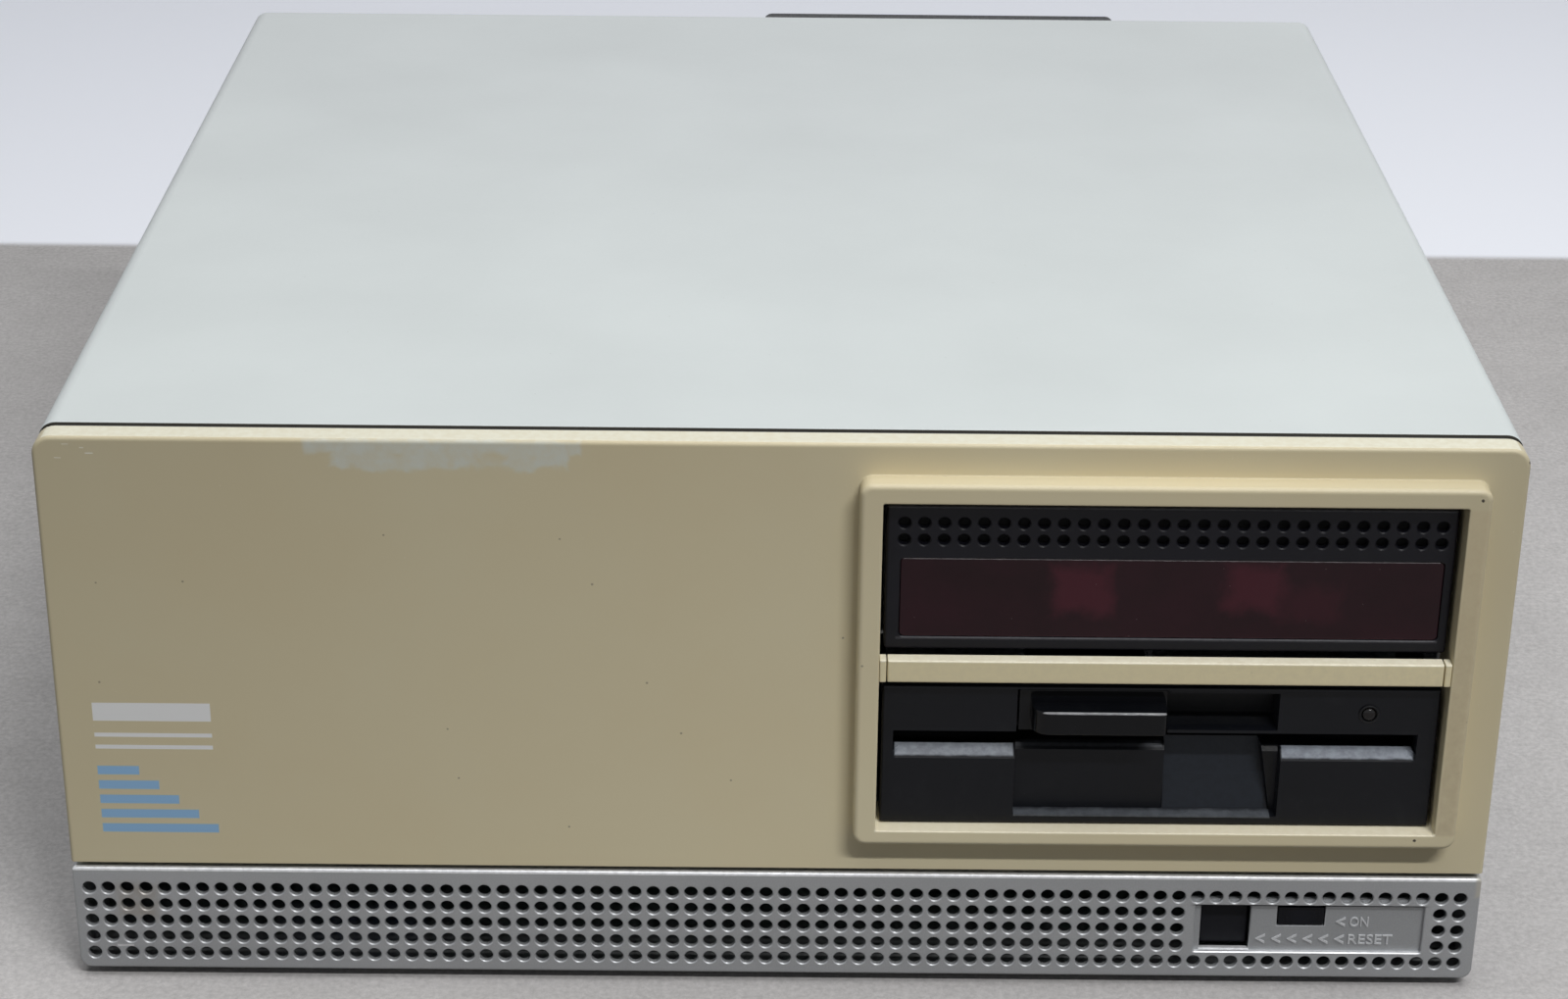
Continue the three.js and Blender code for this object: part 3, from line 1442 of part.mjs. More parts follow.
function powerOutlet() {
  const half = inletWidth / 2;
  const side = half + inletFlangeSide;
  const top = outletFloor + outletHeight;
  const flange = block(inletCentre - side, inletCentre + side, supplyBack + gap, inletBack,
    outletFloor - inletFlangeSide + gap, top + inletFlangeSide - gap);
  const body = block(inletCentre - half, inletCentre + half, inletBack - inletBodyDepth,
    inletBack - inletFlange / 2, outletFloor, top);
  const middle = outletFloor + outletHeight / 2;
  const holes = [-1, 0, 1].map((place) => {
    const x = inletCentre + place * pinPitch;
    const z = middle + (place === 0 ? pinStagger : -pinStagger);
    return block(x - pinWidth / 2 - gap, x + pinWidth / 2 + gap, inletBack - outletHoleDepth,
      inletBack + overrun, z - pinHeight / 2 - gap, z + pinHeight / 2 + gap);
  });
  return cut(join(flange, body), ...holes);
}

// Boards, cards and leads

function portPlaces() {
  const places = [];
  let left = portFirst - width / 2;
  for (const wide of portWidths) {
    places.push([left, left + wide]);
    left += wide + portSpace;
  }
  return places;
}

const switchLeft = panelLeft + buttonHoleLeft + (buttonHoleWidth - switchWidth) / 2;
const buttonZ = panelFloor + buttonHoleFloor + buttonHoleHeight / 2;
const buttonX = switchLeft + switchWidth / 2;
const buttonBack = buttonInset + buttonLength;
const switchFront = buttonBack + springLength + gap * 2;

function mainBoard() {
  const half = width / 2 - panInset - sheet - mainSide;
  const back = rearPanelFront - mainRear;
  const chipSpan = 2 * (half - mainChipSide) - chipLength;
  const plate = block(-half, half, mainFront, back, mainBottom, mainTop);
  const chips = [];
  for (let column = 0; column < mainChipColumns; column += 1) {
    for (let row = 0; row < mainChipRows; row += 1) {
      const x = (column / (mainChipColumns - 1) - 0.5) * chipSpan;
      const y = (mainFront + back) / 2 + (row - (mainChipRows - 1) / 2) * mainChipRowPitch;
      chips.push(block(x - chipLength / 2, x + chipLength / 2, y - chipWidth / 2, y + chipWidth / 2,
        mainBottom - chipHeight, mainBottom + gap));
    }
  }
  const ports = portPlaces().map(([left, right]) => block(left, right, rearPanelBack + portReach - portDepth,
    rearPanelBack + portReach, mainBottom - portHeight, mainBottom + gap));
  const resetSwitch = block(switchLeft, switchLeft + switchWidth, switchFront, switchFront + switchLength,
    buttonZ - switchFoot, mainBottom + gap);
  const neck = block(switchLeft, switchLeft + switchWidth, switchFront, mainFront + switchLength,
    mainBottom, mainTop);
  const stemHole = rodY(buttonX, switchFront - overrun, switchFront + switchLength - overrun, buttonZ,
    buttonStem + runningGap);
  return cut(join(plate, ...chips, ...ports, resetSwitch, neck), stemHole);
}

function battery() {
  const z = mainBottom - gap - batteryRadius;
  const front = batteryBack - batteryLength / 2;
  const left = batterySide - width / 2 - batteryLength / 2;
  return rodX(left, left + batteryLength, front, z, batteryRadius, 14);
}

function resetButton() {
  const left = panelLeft + buttonHoleLeft + buttonSide;
  const right = panelLeft + buttonHoleLeft + buttonHoleWidth - buttonSide;
  const floor = panelFloor + buttonHoleFloor + buttonSide;
  const top = panelFloor + buttonHoleFloor + buttonHoleHeight - buttonSide;
  const cap = block(left, right, buttonInset, buttonBack, floor, top);
  const stem = rodY(buttonX, buttonBack - gap, buttonBack + buttonStemLength, buttonZ, buttonStem);
  return join(cap, stem);
}

class Coil extends THREE.Curve {
  getPoint(share, target = new THREE.Vector3()) {
    const angle = 2 * Math.PI * springTurns * share;
    const length = springLength - 2 * springWire;
    return target.set(springRadius * Math.cos(angle), springWire + length * share,
      springRadius * Math.sin(angle));
  }
}

function resetSpring() {
  const section = new THREE.Shape(roundHole(0, 0, springWire, 5).getPoints());
  const options = { steps: springTurns * 8, extrudePath: new Coil() };
  const geometry = new THREE.ExtrudeGeometry(section, options);
  geometry.translate(buttonX, buttonBack + gap, buttonZ);
  return solid(geometry);
}

function powerLamp() {
  const left = panelLeft + lensLeft + gap;
  const right = panelLeft + lensLeft + lensWidth - gap;
  const floor = panelFloor + lensFloor + gap;
  const top = panelFloor + lensFloor + lensHeight - gap;
  const front = panelInset + lensInset;
  return block(left, right, front, front + lensDepth, floor, top);
}

function busBoard() {
  const plate = block(busLeft, busRight, busBoardFront, busBoardFront + busBoardLength, busBottom, busTop);
  const front = busBoardFront + connectorFront;
  const connectors = Array.from({ length: slotCount }, (_, i) => {
    const x = slotMiddle(i);
    const shell = block(x - connectorWidth / 2, x + connectorWidth / 2, front, front + connectorLength,
      busTop - gap, busTop + connectorHeight);
    const groove = block(x - connectorGroove / 2, x + connectorGroove / 2, front + connectorGroove,
      front + connectorLength - connectorGroove, busTop + connectorHeight - connectorGrooveDepth,
      busTop + connectorHeight + overrun);
    return cut(shell, groove);
  });
  const header = block(busMiddle - busHeaderLength / 2, busMiddle + busHeaderLength / 2,
    busBoardFront + busHeaderFront, busBoardFront + busHeaderFront + busHeaderDepth,
    mainTop + gap, busBottom + gap);
  return join(plate, ...connectors, header);
}

function card(index, length) {
  const x = slotMiddle(index);
  const left = x - board / 2;
  const right = x + board / 2;
  const front = cardBack - length;
  const plate = block(left, right, front, cardBack, cardBottom, cardTop);
  const tabFront = busBoardFront + connectorFront + connectorGroove + gap;
  const tabBack = busBoardFront + connectorFront + connectorLength - connectorGroove - gap;
  const tab = block(left, right, tabFront, tabBack,
    cardBottom - cardShoulder - cardTab, cardBottom + gap);
  const chips = [];
  const columns = Math.floor((length - chipPitch) / chipPitch);
  for (let column = 0; column < columns; column += 1) {
    for (let row = 0; row < cardChipRows; row += 1) {
      const y = front + chipPitch / 2 + column * chipPitch;
      const z = cardBottom + chipRowPitch * (row + 0.5) + chipRowPitch / 2;
      chips.push(block(left - chipHeight, left + gap, y, y + chipLength, z, z + chipWidth));
    }
  }
  return join(plate, tab, ...chips);
}

const ribbonStart = slotMiddle(slotCount - 1) + board / 2 + headerReach + gap;

function controllerCard() {
  const right = slotMiddle(slotCount - 1) + board / 2;
  const header = (floor, wide) => block(right - gap, right + headerReach,
    ribbonBack - headerLength / 2, ribbonBack + headerLength / 2, floor, floor + wide);
  return join(card(slotCount - 1, shortCard),
    header(diskBottom + diskRibbonRise, diskRibbonWidth),
    header(floppyBottom + floppyRibbonRise, floppyRibbonWidth));
}

function slotBracket(index) {
  const x = slotMiddle(index);
  const half = bracketWidth / 2;
  const earFloor = ledgeTop + gap;
  const blade = block(x - half, x + half, bracketBack - sheet, bracketBack,
    deckTop + bracketFoot, earFloor + sheet);
  const ear = block(x - half, x + half, bracketBack - sheet, bracketBack - sheet + bracketEar,
    earFloor, earFloor + sheet);
  return join(blade, ear);
}

function speaker() {
  const foot = deckTop + gap;
  const top = foot + speakerHeight;
  return turned([
    [0, foot],
    [speakerMagnet, foot],
    [speakerMagnet, foot + speakerHeight / 2],
    [speakerRadius - speakerRim, top - speakerRim / 2],
    [speakerRadius, top - speakerRim / 2],
    [speakerRadius, top],
    [speakerRadius - speakerRim, top],
    [speakerMagnet / 2, foot + speakerHeight * speakerDishShare],
    [0, foot + speakerHeight * speakerDishShare],
  ], speakerSide - width / 2, speakerBack, 20);
}

// A flat lead on edge: from the card's header to the right, then forward to a drive's back.
function ribbon(across, driveBack, floor, wide) {
  const endX = bayCentre + across;
  const half = ribbonThickness / 2;
  const outline = new THREE.Shape();
  const bendX = endX - ribbonBend;
  const bendY = ribbonBack - ribbonBend;
  outline.moveTo(ribbonStart, ribbonBack + half);
  outline.lineTo(ribbonStart, ribbonBack - half);
  outline.lineTo(bendX, ribbonBack - half);
  outline.absarc(bendX, bendY, ribbonBend - half, Math.PI / 2, 0, true);
  outline.lineTo(endX - half, driveBack + gap);
  outline.lineTo(endX + half, driveBack + gap);
  outline.lineTo(endX + half, bendY);
  outline.absarc(bendX, bendY, ribbonBend + half, 0, Math.PI / 2, false);
  const band = alongZ(outline, floor, floor + wide);
  const plug = block(endX - ribbonPlug / 2, endX + ribbonPlug / 2, driveBack + gap,
    driveBack + gap + ribbonPlugLength, floor - gap, floor + wide + gap);
  return join(band, plug);
}

function placed(x, z, pieces) {
  const group = new THREE.Group();
  group.position.set(x, 0, z);
  group.add(...pieces);
  return group;
}

const computer = new THREE.Group();
computer.position.set(0, faceY, 0);

computer.add(
  piece('top_cover', topCover(), coverPaint),
  piece('front_bezel', frontBezel(), bezelPlastic),
  piece('bay_divider', bayDivider(), bezelPlastic),
  piece('front_grille', frontGrille(), grilleMetal),
  piece('base_pan', basePan(), steel),
  piece('chassis_deck', chassisDeck(), steel),
  piece('rear_panel', rearPanel(), steel),
  piece('fan_hood', fanHood(), blackPlastic),
  piece('drive_cage', driveCage(), steel),
  piece('main_board', mainBoard(), boardGreen),
  piece('battery', battery(), lampRed),
  piece('reset_button', resetButton(), blackPlastic),
  piece('reset_spring', resetSpring(), steel),
  piece('power_lamp', powerLamp(), lampRed),
  piece('bus_board', busBoard(), boardGreen),
  piece('card_1', card(1, longCard), boardGreen),
  piece('card_2', controllerCard(), boardGreen),
  piece('speaker', speaker(), blackPlastic),
  piece('supply_case', supplyCase(), steel),
  piece('supply_cover', supplyCover(), steel),
  piece('supply_board', supplyBoard(), boardGreen),
  piece('fan_frame', fanFrame(), blackPlastic),
  piece('fan_rotor', fanRotor(), blackPlastic),
  piece('power_inlet', powerInlet(), blackPlastic),
  piece('power_rocker', powerRocker(), lampRed),
  piece('power_outlet', powerOutlet(), blackPlastic),
  piece('disk_ribbon', ribbon(diskRibbonAcross, diskBack, diskBottom + diskRibbonRise, diskRibbonWidth),
    leadGrey),
  piece('floppy_ribbon', ribbon(floppyRibbonAcross, floppyBack, floppyBottom + floppyRibbonRise,
    floppyRibbonWidth), leadGrey),
);

const footAcross = width / 2 - footSide;
const footPlaces = [footFront, rearPanelBack - footRear].flatMap((y) => [[-footAcross, y], [footAcross, y]]);
footPlaces.forEach(([x, y], i) => computer.add(piece(`foot_${i + 1}`, foot(x, y), rubber)));

for (let i = 0; i < slotCount; i += 1) {
  computer.add(piece(`slot_bracket_${i + 1}`, slotBracket(i), steel));
}

computer.add(placed(bayCentre, floppyBottom, [
  piece('floppy_bezel', floppyBezel(), blackPlastic),
  piece('floppy_latch', floppyLatch(), glossBlack),
  piece('clamp_arm', clampArm(), steel),
  piece('clamp_cone', clampCone(), blackPlastic),
  piece('floppy_frame', floppyFrame(), casting),
  piece('floppy_board', floppyBoard(), boardGreen),
  piece('floppy_spindle', floppySpindle(), steel),
  piece('floppy_lamp', floppyLamp(), lampRed),
  piece('head_rail_1', headRail(-1), steel),
  piece('head_rail_2', headRail(1), steel),
  piece('head_carriage', headCarriage(), blackPlastic),
  piece('head_motor', headMotor(), steel),
  piece('head_pulley', headPulley(), steel),
]));

computer.add(placed(bayCentre, diskBottom, [
  piece('disk_bezel', diskBezel(), diskPlastic),
  piece('disk_window', diskWindow(), smokedRed),
  piece('indicator_board', indicatorBoard(), boardGreen),
  piece('disk_base', diskBase(), casting),
  piece('disk_lid', diskLid(), casting),
  piece('disk_board', diskBoard(), boardGreen),
  piece('disk_platters', diskPlatters(), mirrorMetal),
  piece('disk_arm', diskArm(), steel),
]));

export default computer;
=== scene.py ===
import json
import math

import bmesh
import bpy
import numpy as np
from mathutils import Matrix, Vector

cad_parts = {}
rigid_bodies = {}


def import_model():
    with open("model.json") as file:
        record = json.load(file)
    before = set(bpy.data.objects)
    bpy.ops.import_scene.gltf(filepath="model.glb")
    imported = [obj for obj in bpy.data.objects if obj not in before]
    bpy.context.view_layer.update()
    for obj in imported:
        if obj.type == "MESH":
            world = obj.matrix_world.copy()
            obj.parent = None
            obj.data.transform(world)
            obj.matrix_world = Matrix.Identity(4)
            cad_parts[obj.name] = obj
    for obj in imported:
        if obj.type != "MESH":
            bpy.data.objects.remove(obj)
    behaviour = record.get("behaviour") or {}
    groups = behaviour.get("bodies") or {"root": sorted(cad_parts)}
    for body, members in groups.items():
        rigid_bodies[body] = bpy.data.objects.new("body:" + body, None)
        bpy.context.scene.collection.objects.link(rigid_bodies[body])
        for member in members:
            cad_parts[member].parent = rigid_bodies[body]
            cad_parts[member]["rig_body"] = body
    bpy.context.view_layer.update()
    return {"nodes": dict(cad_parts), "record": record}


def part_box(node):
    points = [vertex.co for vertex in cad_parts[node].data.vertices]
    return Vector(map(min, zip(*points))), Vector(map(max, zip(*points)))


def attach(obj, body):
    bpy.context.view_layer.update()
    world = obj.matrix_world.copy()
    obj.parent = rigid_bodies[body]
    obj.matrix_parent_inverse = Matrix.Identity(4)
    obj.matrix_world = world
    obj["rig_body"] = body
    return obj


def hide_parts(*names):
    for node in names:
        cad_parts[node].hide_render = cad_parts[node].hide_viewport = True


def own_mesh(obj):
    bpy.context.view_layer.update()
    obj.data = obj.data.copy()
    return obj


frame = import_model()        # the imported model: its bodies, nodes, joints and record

scene = bpy.context.scene
nodes = frame["nodes"]
mm = 0.001
faceY = -190.0  # the bezel's front face; depths below are millimetres behind it
sharpCorners = (0, 0, 0, 0)
hair = 1e-6  # lines closer than this count as one
midTurn = 0.3  # how far in the middle of a small rounded edge lies, as a share of the edge
onFace = 0.3  # how far a face's first loop lies in from its edge
remade = set()  # nodes that a piece of the scene stands for
print("frame loaded:", len(nodes), "nodes")


# Shapes.

# Merges doubled points, drops loose ones, turns the faces outwards and marks the sharp edges.
def tidyMesh(mesh, sharp=38, near=2e-6):
    bm = bmesh.new()
    bm.from_mesh(mesh)
    bmesh.ops.remove_doubles(bm, verts=bm.verts, dist=near)
    bmesh.ops.delete(bm, geom=[v for v in bm.verts if not v.link_faces], context="VERTS")
    bmesh.ops.recalc_face_normals(bm, faces=bm.faces)
    bm.to_mesh(mesh)
    bm.free()
    mesh.polygons.foreach_set("use_smooth", np.ones(len(mesh.polygons), bool))
    mesh.set_sharp_from_angle(angle=math.radians(sharp))


def linked(name, data):
    made = bpy.data.objects.new(name, data)
    scene.collection.objects.link(made)
    return made


# A new object from points in millimetres and rows of point numbers.
def makePiece(name, points, faces, sharp=38):
    mesh = bpy.data.meshes.new(name)
    rows = [row.tolist() if isinstance(row, np.ndarray) else row for row in faces]
    mesh.from_pydata((np.asarray(points, float) * mm).tolist(), [], rows)
    tidyMesh(mesh, sharp)
    return linked(name, mesh)


def meshPoints(mesh):
    points = np.empty(len(mesh.vertices) * 3)
    mesh.vertices.foreach_get("co", points)
    return points.reshape(-1, 3)


def wear(piece, material):
    piece.data.materials.clear()
    piece.data.materials.append(material)


# Gives a piece its body and finish, and hides the nodes that it stands for.
def seat(piece, body, material, slot, *replaced):
    wear(piece, material)
    level = piece.modifiers.new("level normals", "WEIGHTED_NORMAL")
    level.keep_sharp = True
    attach(piece, body)
    if replaced:
        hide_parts(*replaced)
        remade.update(replaced)


# Even angles round a circle, and the circle's points in x and z.
def circle(sides):
    turn = np.linspace(0, 2 * np.pi, sides + 1)[:-1]
    return turn, np.stack([np.cos(turn), np.sin(turn)], 1)


def quarter(steps):
    return np.radians(np.linspace(0, 90, steps + 1))


# A rounded rectangle in x and z, counterclockwise from its lower left corner. Each corner is a
# quarter circle of its radius, and marks lists the points on the four sides as shares of each.
def roundedLoop(box, radii, arc=6, marks=None, inset=0.0):
    x0, x1, z0, z1 = box[0] + inset, box[1] - inset, box[2] + inset, box[3] - inset
    corners = ((x0, z0, 1, 1), (x1, z0, -1, 1), (x1, z1, -1, -1), (x0, z1, 1, -1))
    arcs = []
    for i, (x, z, sideX, sideZ) in enumerate(corners):
        radius = max(radii[i] - inset, 0) if radii[i] else 0
        turn = np.radians(180 + 90 * i + np.linspace(0, 90, arc + 1))
        arcs.append(np.stack([x + radius * (sideX + np.cos(turn)), z + radius * (sideZ + np.sin(turn))], 1))
    loop = []
    for i in range(4):
        loop.append(arcs[i])
        if marks is not None:
            start, end = arcs[i][-1], arcs[(i + 1) % 4][0]
            loop.append(start + (end - start) * np.asarray(marks[i])[1:-1, None])
    return np.concatenate(loop)


# Flat loops of equal length as points in space, each at its own depth.
def atDepths(loops, depths, start=faceY):
    return np.concatenate([np.column_stack([loop[:, 0], np.full(len(loop), start + depth), loop[:, 1]])
                           for loop, depth in zip(loops, depths)])


# Quads over rings of points, the last of which joins the first if closed is on.
def gridQuads(rows, size, closed=False):
    i = np.arange(rows if closed else rows - 1)[:, None]
    j = np.arange(size)[None]
    ahead, beside = (i + 1) % rows, (j + 1) % size
    quads = [i * size + j, i * size + beside, ahead * size + beside, ahead * size + j]
    return np.stack(quads, -1).reshape(-1, 4)


# The two ends of a grid of rings as faces.
def endFaces(rows, size):
    return [np.arange(size)[::-1], np.arange(size) + (rows - 1) * size]


def joinLoops(loops, depths, closed=True, caps=False):
    count, size = len(loops), len(loops[0])
    ends = endFaces(count, size) if caps else []
    return atDepths(loops, depths), list(gridQuads(count, size, closed)) + ends


# The same rings of points, joined in their order, at every place.
def stamped(local, size, places, caps=False):
    rows = len(local) // size
    starts = (np.arange(len(places)) * len(local))[:, None, None]
    quads = np.roll(gridQuads(rows, size)[:, ::-1], 1, 1)
    faces = list((quads + starts).reshape(-1, 4))
    if caps:
        faces += list((np.stack(endFaces(rows, size)) + starts).reshape(-1, size))
    return (local + np.asarray(places, float)[:, None]).reshape(-1, 3), faces


# Loops that turn from a side into a face by a quarter circle of radius edge, then one on the face.
def turnIn(box, radii, edge, depth, arc=6, marks=None, steps=4):
    turns = quarter(steps)
    insets = [*(edge * (1 - np.cos(turns))), edge + onFace]
    depths = [*(depth + edge * (1 - np.sin(turns))), depth]
    return [roundedLoop(box, radii, arc, marks, inset) for inset in insets], depths


# A block with rounded corners whose front edge is turned in, and its back edge too if backEdge is set.
def roundedBlock(name, box, front, back, radii, edge, arc=6, backEdge=0.0):
    loops, depths = turnIn(box, radii, edge, front, arc)
    turns = quarter(3) if backEdge else [0.0]
    loops = loops[::-1] + [roundedLoop(box, radii, arc, None, backEdge * (1 - math.cos(t))) for t in turns]
    depths = depths[::-1] + [back - backEdge * (1 - math.sin(t)) for t in turns]
    return makePiece(name, *joinLoops(loops, depths, closed=False, caps=True))


# A block made from its settings and seated; it has one corner radius, or four corners of their own.
def seatBlock(name, s, body, material, slot, *replaced):
    radii = s.get("corners") or (s["corner"],) * 4
    piece = roundedBlock(name, s["box"], *s["depths"], radii, s["edge"], s["arc"], s.get("backEdge", 0.0))
    seat(piece, body, material, slot, *replaced)


# A plate on a grid of points across and up, with a depth for each point of its front and back, and
# walls round every cell that keep leaves out.
def gridPlate(across, up, front, back, keep):
    both = [np.stack([across, faceY + depth, up], -1).reshape(-1, 3) for depth in (front, back)]
    number = np.arange(across.size).reshape(across.shape)
    corners = [number[:-1, :-1], number[:-1, 1:], number[1:, 1:], number[1:, :-1]]
    quads = np.stack(corners, -1)[keep]
    faces = [quads, quads[:, ::-1] + across.size]
    padded = np.pad(keep, 1)
    beyond = [padded[:-2, 1:-1], padded[1:-1, 2:], padded[2:, 1:-1], padded[1:-1, :-2]]
    for i in range(4):
        bare = keep & ~beyond[i]
        start, end = corners[i][bare], corners[(i + 1) % 4][bare]
        faces.append(np.stack([end, start, start + across.size, end + across.size], -1))
    return np.concatenate(both), list(np.concatenate(faces))


# The cells of a grid of lines that lie inside a box.
def cellsIn(box, xs, zs):
    x, z = (xs[:-1] + xs[1:]) / 2, (zs[:-1] + zs[1:]) / 2
    return (x > box[0]) & (x < box[1]) & ((z > box[2]) & (z < box[3]))[:, None]


# Hole places in columns and rows at the pitch, and the box that their cells fill.
def lattice(s):
    column, row = np.meshgrid(np.arange(s["columns"]), np.arange(s["rows"]))
    pitch = np.array(s["pitch"])
    centres = (s["left"], s["low"]) + pitch * np.stack([column, row], -1)
    x0, z0 = s["left"] - pitch[0] / 2, s["low"] - pitch[1] / 2
    return column, row, centres, (x0, x0 + pitch[0] * s["columns"], z0, z0 + pitch[1] * s["rows"])


# Cells with a round hole each: a square of 16 points round a ring that is bevelled, goes through
# the plate and spreads to the same square behind it.
def holedCells(centres, s, front, back):
    sides = 16
    square = np.array([(1, 0), (1, .5), (1, 1), (.5, 1), (0, 1), (-.5, 1), (-1, 1), (-1, .5),
                       (-1, 0), (-1, -.5), (-1, -1), (-.5, -1), (0, -1), (.5, -1), (1, -1), (1, -.5)])
    square = square * np.array(s["pitch"]) / 2
    ring = circle(sides)[1]
    hole = ring * s["radius"]
    local = atDepths([square, ring * (s["radius"] + s["bevel"]), hole, hole, square],
                     [front, front, front + s["bevel"], back, back])
    return stamped(local, sides, np.column_stack([centres[:, 0], np.zeros(len(centres)), centres[:, 1]]))


# Shares of a side's length that meet the cells of the holes along it, four to a cell.
def cellShares(cells):
    return np.linspace(0, 1, 4 * cells + 1)


# The rim of a holed plate: from the outline of its face out to the rounded edge, back along the
# sides, in by the wall, and forward to the same outline behind the plate.
def plateRim(face, s, front, back, wall, plate, arc, marks):
    loops, depths = turnIn(s["outer"], s["corners"], s["edge"], front, arc, marks)
    outline = roundedLoop(face, sharpCorners, arc, marks)
    loops, depths = [outline, *loops[::-1]], [front, *depths[::-1]]
    for inset, depth in ((0, back), (wall, back), (wall, plate)):
        loops.append(roundedLoop(s["outer"], s["corners"], arc, marks, inset))
        depths.append(depth)
    return joinLoops([*loops, outline], [*depths, plate], closed=False)


# Several sets of points and faces as one.
def merged(*parts):
    points, faces, count = [], [], 0
    for some, rows in parts:
        points.append(some)
        faces += [np.asarray(row) + count for row in rows]
        count += len(some)
    return np.concatenate(points), faces


# A profile of [radius, depth] turned round a line along y through x and z.
def turnedAlongY(name, profile, x, z):
    loops = [circle(32)[1] * radius + (x, z) for radius, _ in profile]
    return makePiece(name, *joinLoops(loops, [depth for _, depth in profile], closed=False, caps=True))


# A copy of a CAD node with its flat faces made whole and its edges softened.
def softened(name, material, slot, width):
    source = nodes[name]
    mesh = source.data.copy()
    bm = bmesh.new()
    bm.from_mesh(mesh)
    bmesh.ops.remove_doubles(bm, verts=bm.verts, dist=1e-5)
    bmesh.ops.dissolve_limit(bm, angle_limit=math.radians(0.4), verts=bm.verts, edges=bm.edges)
    bm.to_mesh(mesh)
    bm.free()
    tidyMesh(mesh, 30, 1e-6)
    piece = linked(name + ".soft", mesh)
    bevel = piece.modifiers.new("soft edges", "BEVEL")
    bevel.width = width * mm
    bevel.segments = 2
    bevel.limit_method = "ANGLE"
    bevel.angle_limit = math.radians(38)
    bevel.use_clamp_overlap = True
    seat(piece, source["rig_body"], material, slot, name)


# Shading.

# A short way to write node trees: values go into sockets, and sockets are linked.
class Graph:
    def __init__(self, tree):
        self.tree = tree

    def put(self, socket, value):
        if isinstance(value, bpy.types.NodeSocket):
            self.tree.links.new(value, socket)
        elif hasattr(value, "__len__") and len(value) == 3 and len(socket.default_value) == 4:
            socket.default_value = (*value, 1)
        else:
            socket.default_value = value

    def add(self, kind, inputs=None, **settings):
        node = self.tree.nodes.new("ShaderNode" + kind)
        for key, value in settings.items():
            setattr(node, key, value)
        for key, value in (inputs or {}).items():
            self.put(node.inputs[key], value)
        return node

    def math(self, operation, a, b=0.0):
        return self.add("Math", {0: a, 1: b}, operation=operation).outputs[0]

    def times(self, value, *others):
        for other in others:
            value = self.math("MULTIPLY", value, other)
        return value

    # The length of a flat offset: the root of its squares' sum.
    def reach(self, a, b):
        return self.math("SQRT", self.math("ADD", self.times(a, a), self.times(b, b)))

    def vector(self, operation, a, b=(0, 0, 0)):
        return self.add("VectorMath", {0: a, 1: b}, operation=operation).outputs[0]

    def scaled(self, vector, scale):
        return self.add("VectorMath", {0: vector, "Scale": scale}, operation="SCALE").outputs[0]

    def mix(self, share, a, b, blend="MIX"):
        node = self.add("Mix", data_type="RGBA", blend_type=blend)
        for index, value in ((0, share), (6, a), (7, b)):
            self.put(node.inputs[index], value)
        return node.outputs[2]

    # A colour times a shade of grey.
    def toned(self, colour, tone):
        grey = self.add("CombineColor", {0: tone, 1: tone, 2: tone}).outputs[0]
        return self.mix(1.0, colour, grey, "MULTIPLY")

    def between(self, value, low, high, toLow=0.0, toHigh=1.0, smooth=True):
        kind = "SMOOTHSTEP" if smooth else "LINEAR"
        return self.add("MapRange", {0: value, 1: low, 2: high, 3: toLow, 4: toHigh},
                        interpolation_type=kind).outputs[0]

    def noise(self, vector, scale, detail=3.0, roughness=0.5):
        return self.add("TexNoise", {"Vector": vector, "Scale": scale, "Detail": detail,
                                     "Roughness": roughness}).outputs["Fac"]

    def split(self, vector):
        return self.add("SeparateXYZ", {0: vector}).outputs

    # The place on the piece in millimetres.
    def place(self):
        return self.scaled(self.add("TexCoord").outputs["Object"], 1 / mm)

    # The one output of a node group, whose inputs are given in their order.
    def group(self, tree, *values):
        node = self.add("Group")
        node.node_tree = tree
        for socket, value in zip(node.inputs, values):
            self.put(socket, value)
        return node.outputs[0]

    def tone(self, place, scale, low=0.0, high=1.0):
        return self.group(slowTone, place, scale, low, high)

    # Specks of a shade laid on a colour.
    def speckled(self, colour, place, scale, size, share, strength, shade):
        specks = self.group(speckMask, place, scale, size, share)
        return self.mix(self.times(specks, strength), colour, shade)

    def inBox(self, place, box, feather, wave=0.0, waveScale=0.1):
        centre = [(a + b) / 2 for a, b in box]
        half = [(b - a) / 2 for a, b in box]
        return self.group(boxMask, place, centre, half, feather, wave, waveScale)

    def bump(self, height, distance, strength):
        inputs = {"Height": height, "Distance": distance * mm, "Strength": strength}
        return self.add("Bump", inputs).outputs[0]

    # What a look returns: its colour, a roughness that follows the grain from low to high, and
    # the relief of the grain or of another height.
    def surface(self, colour, grain, low, high, relief=0.0, strength=0.6, height=None):
        made = {"Base Color": colour, "Roughness": self.between(grain, 0.3, 0.7, low, high)}
        if relief:
            made["Normal"] = self.bump(grain if height is None else height, relief, strength)
        return made


# A node group with named inputs and one output; build fills it and returns that output's socket.
def shaderGroup(name, inputs, output, build):
    tree = bpy.data.node_groups.new(name, "ShaderNodeTree")
    for key in inputs:
        kind = "NodeSocketVector" if key in ("Vector", "Centre", "Half") else "NodeSocketFloat"
        tree.interface.new_socket(key, in_out="INPUT", socket_type=kind)
    tree.interface.new_socket(output, in_out="OUTPUT", socket_type="NodeSocketFloat")
    graph = Graph(tree)
    given = tree.nodes.new("NodeGroupInput").outputs
    leave = tree.nodes.new("NodeGroupOutput")
    graph.put(leave.inputs[0], build(graph, *(given[key] for key in inputs)))
    return tree


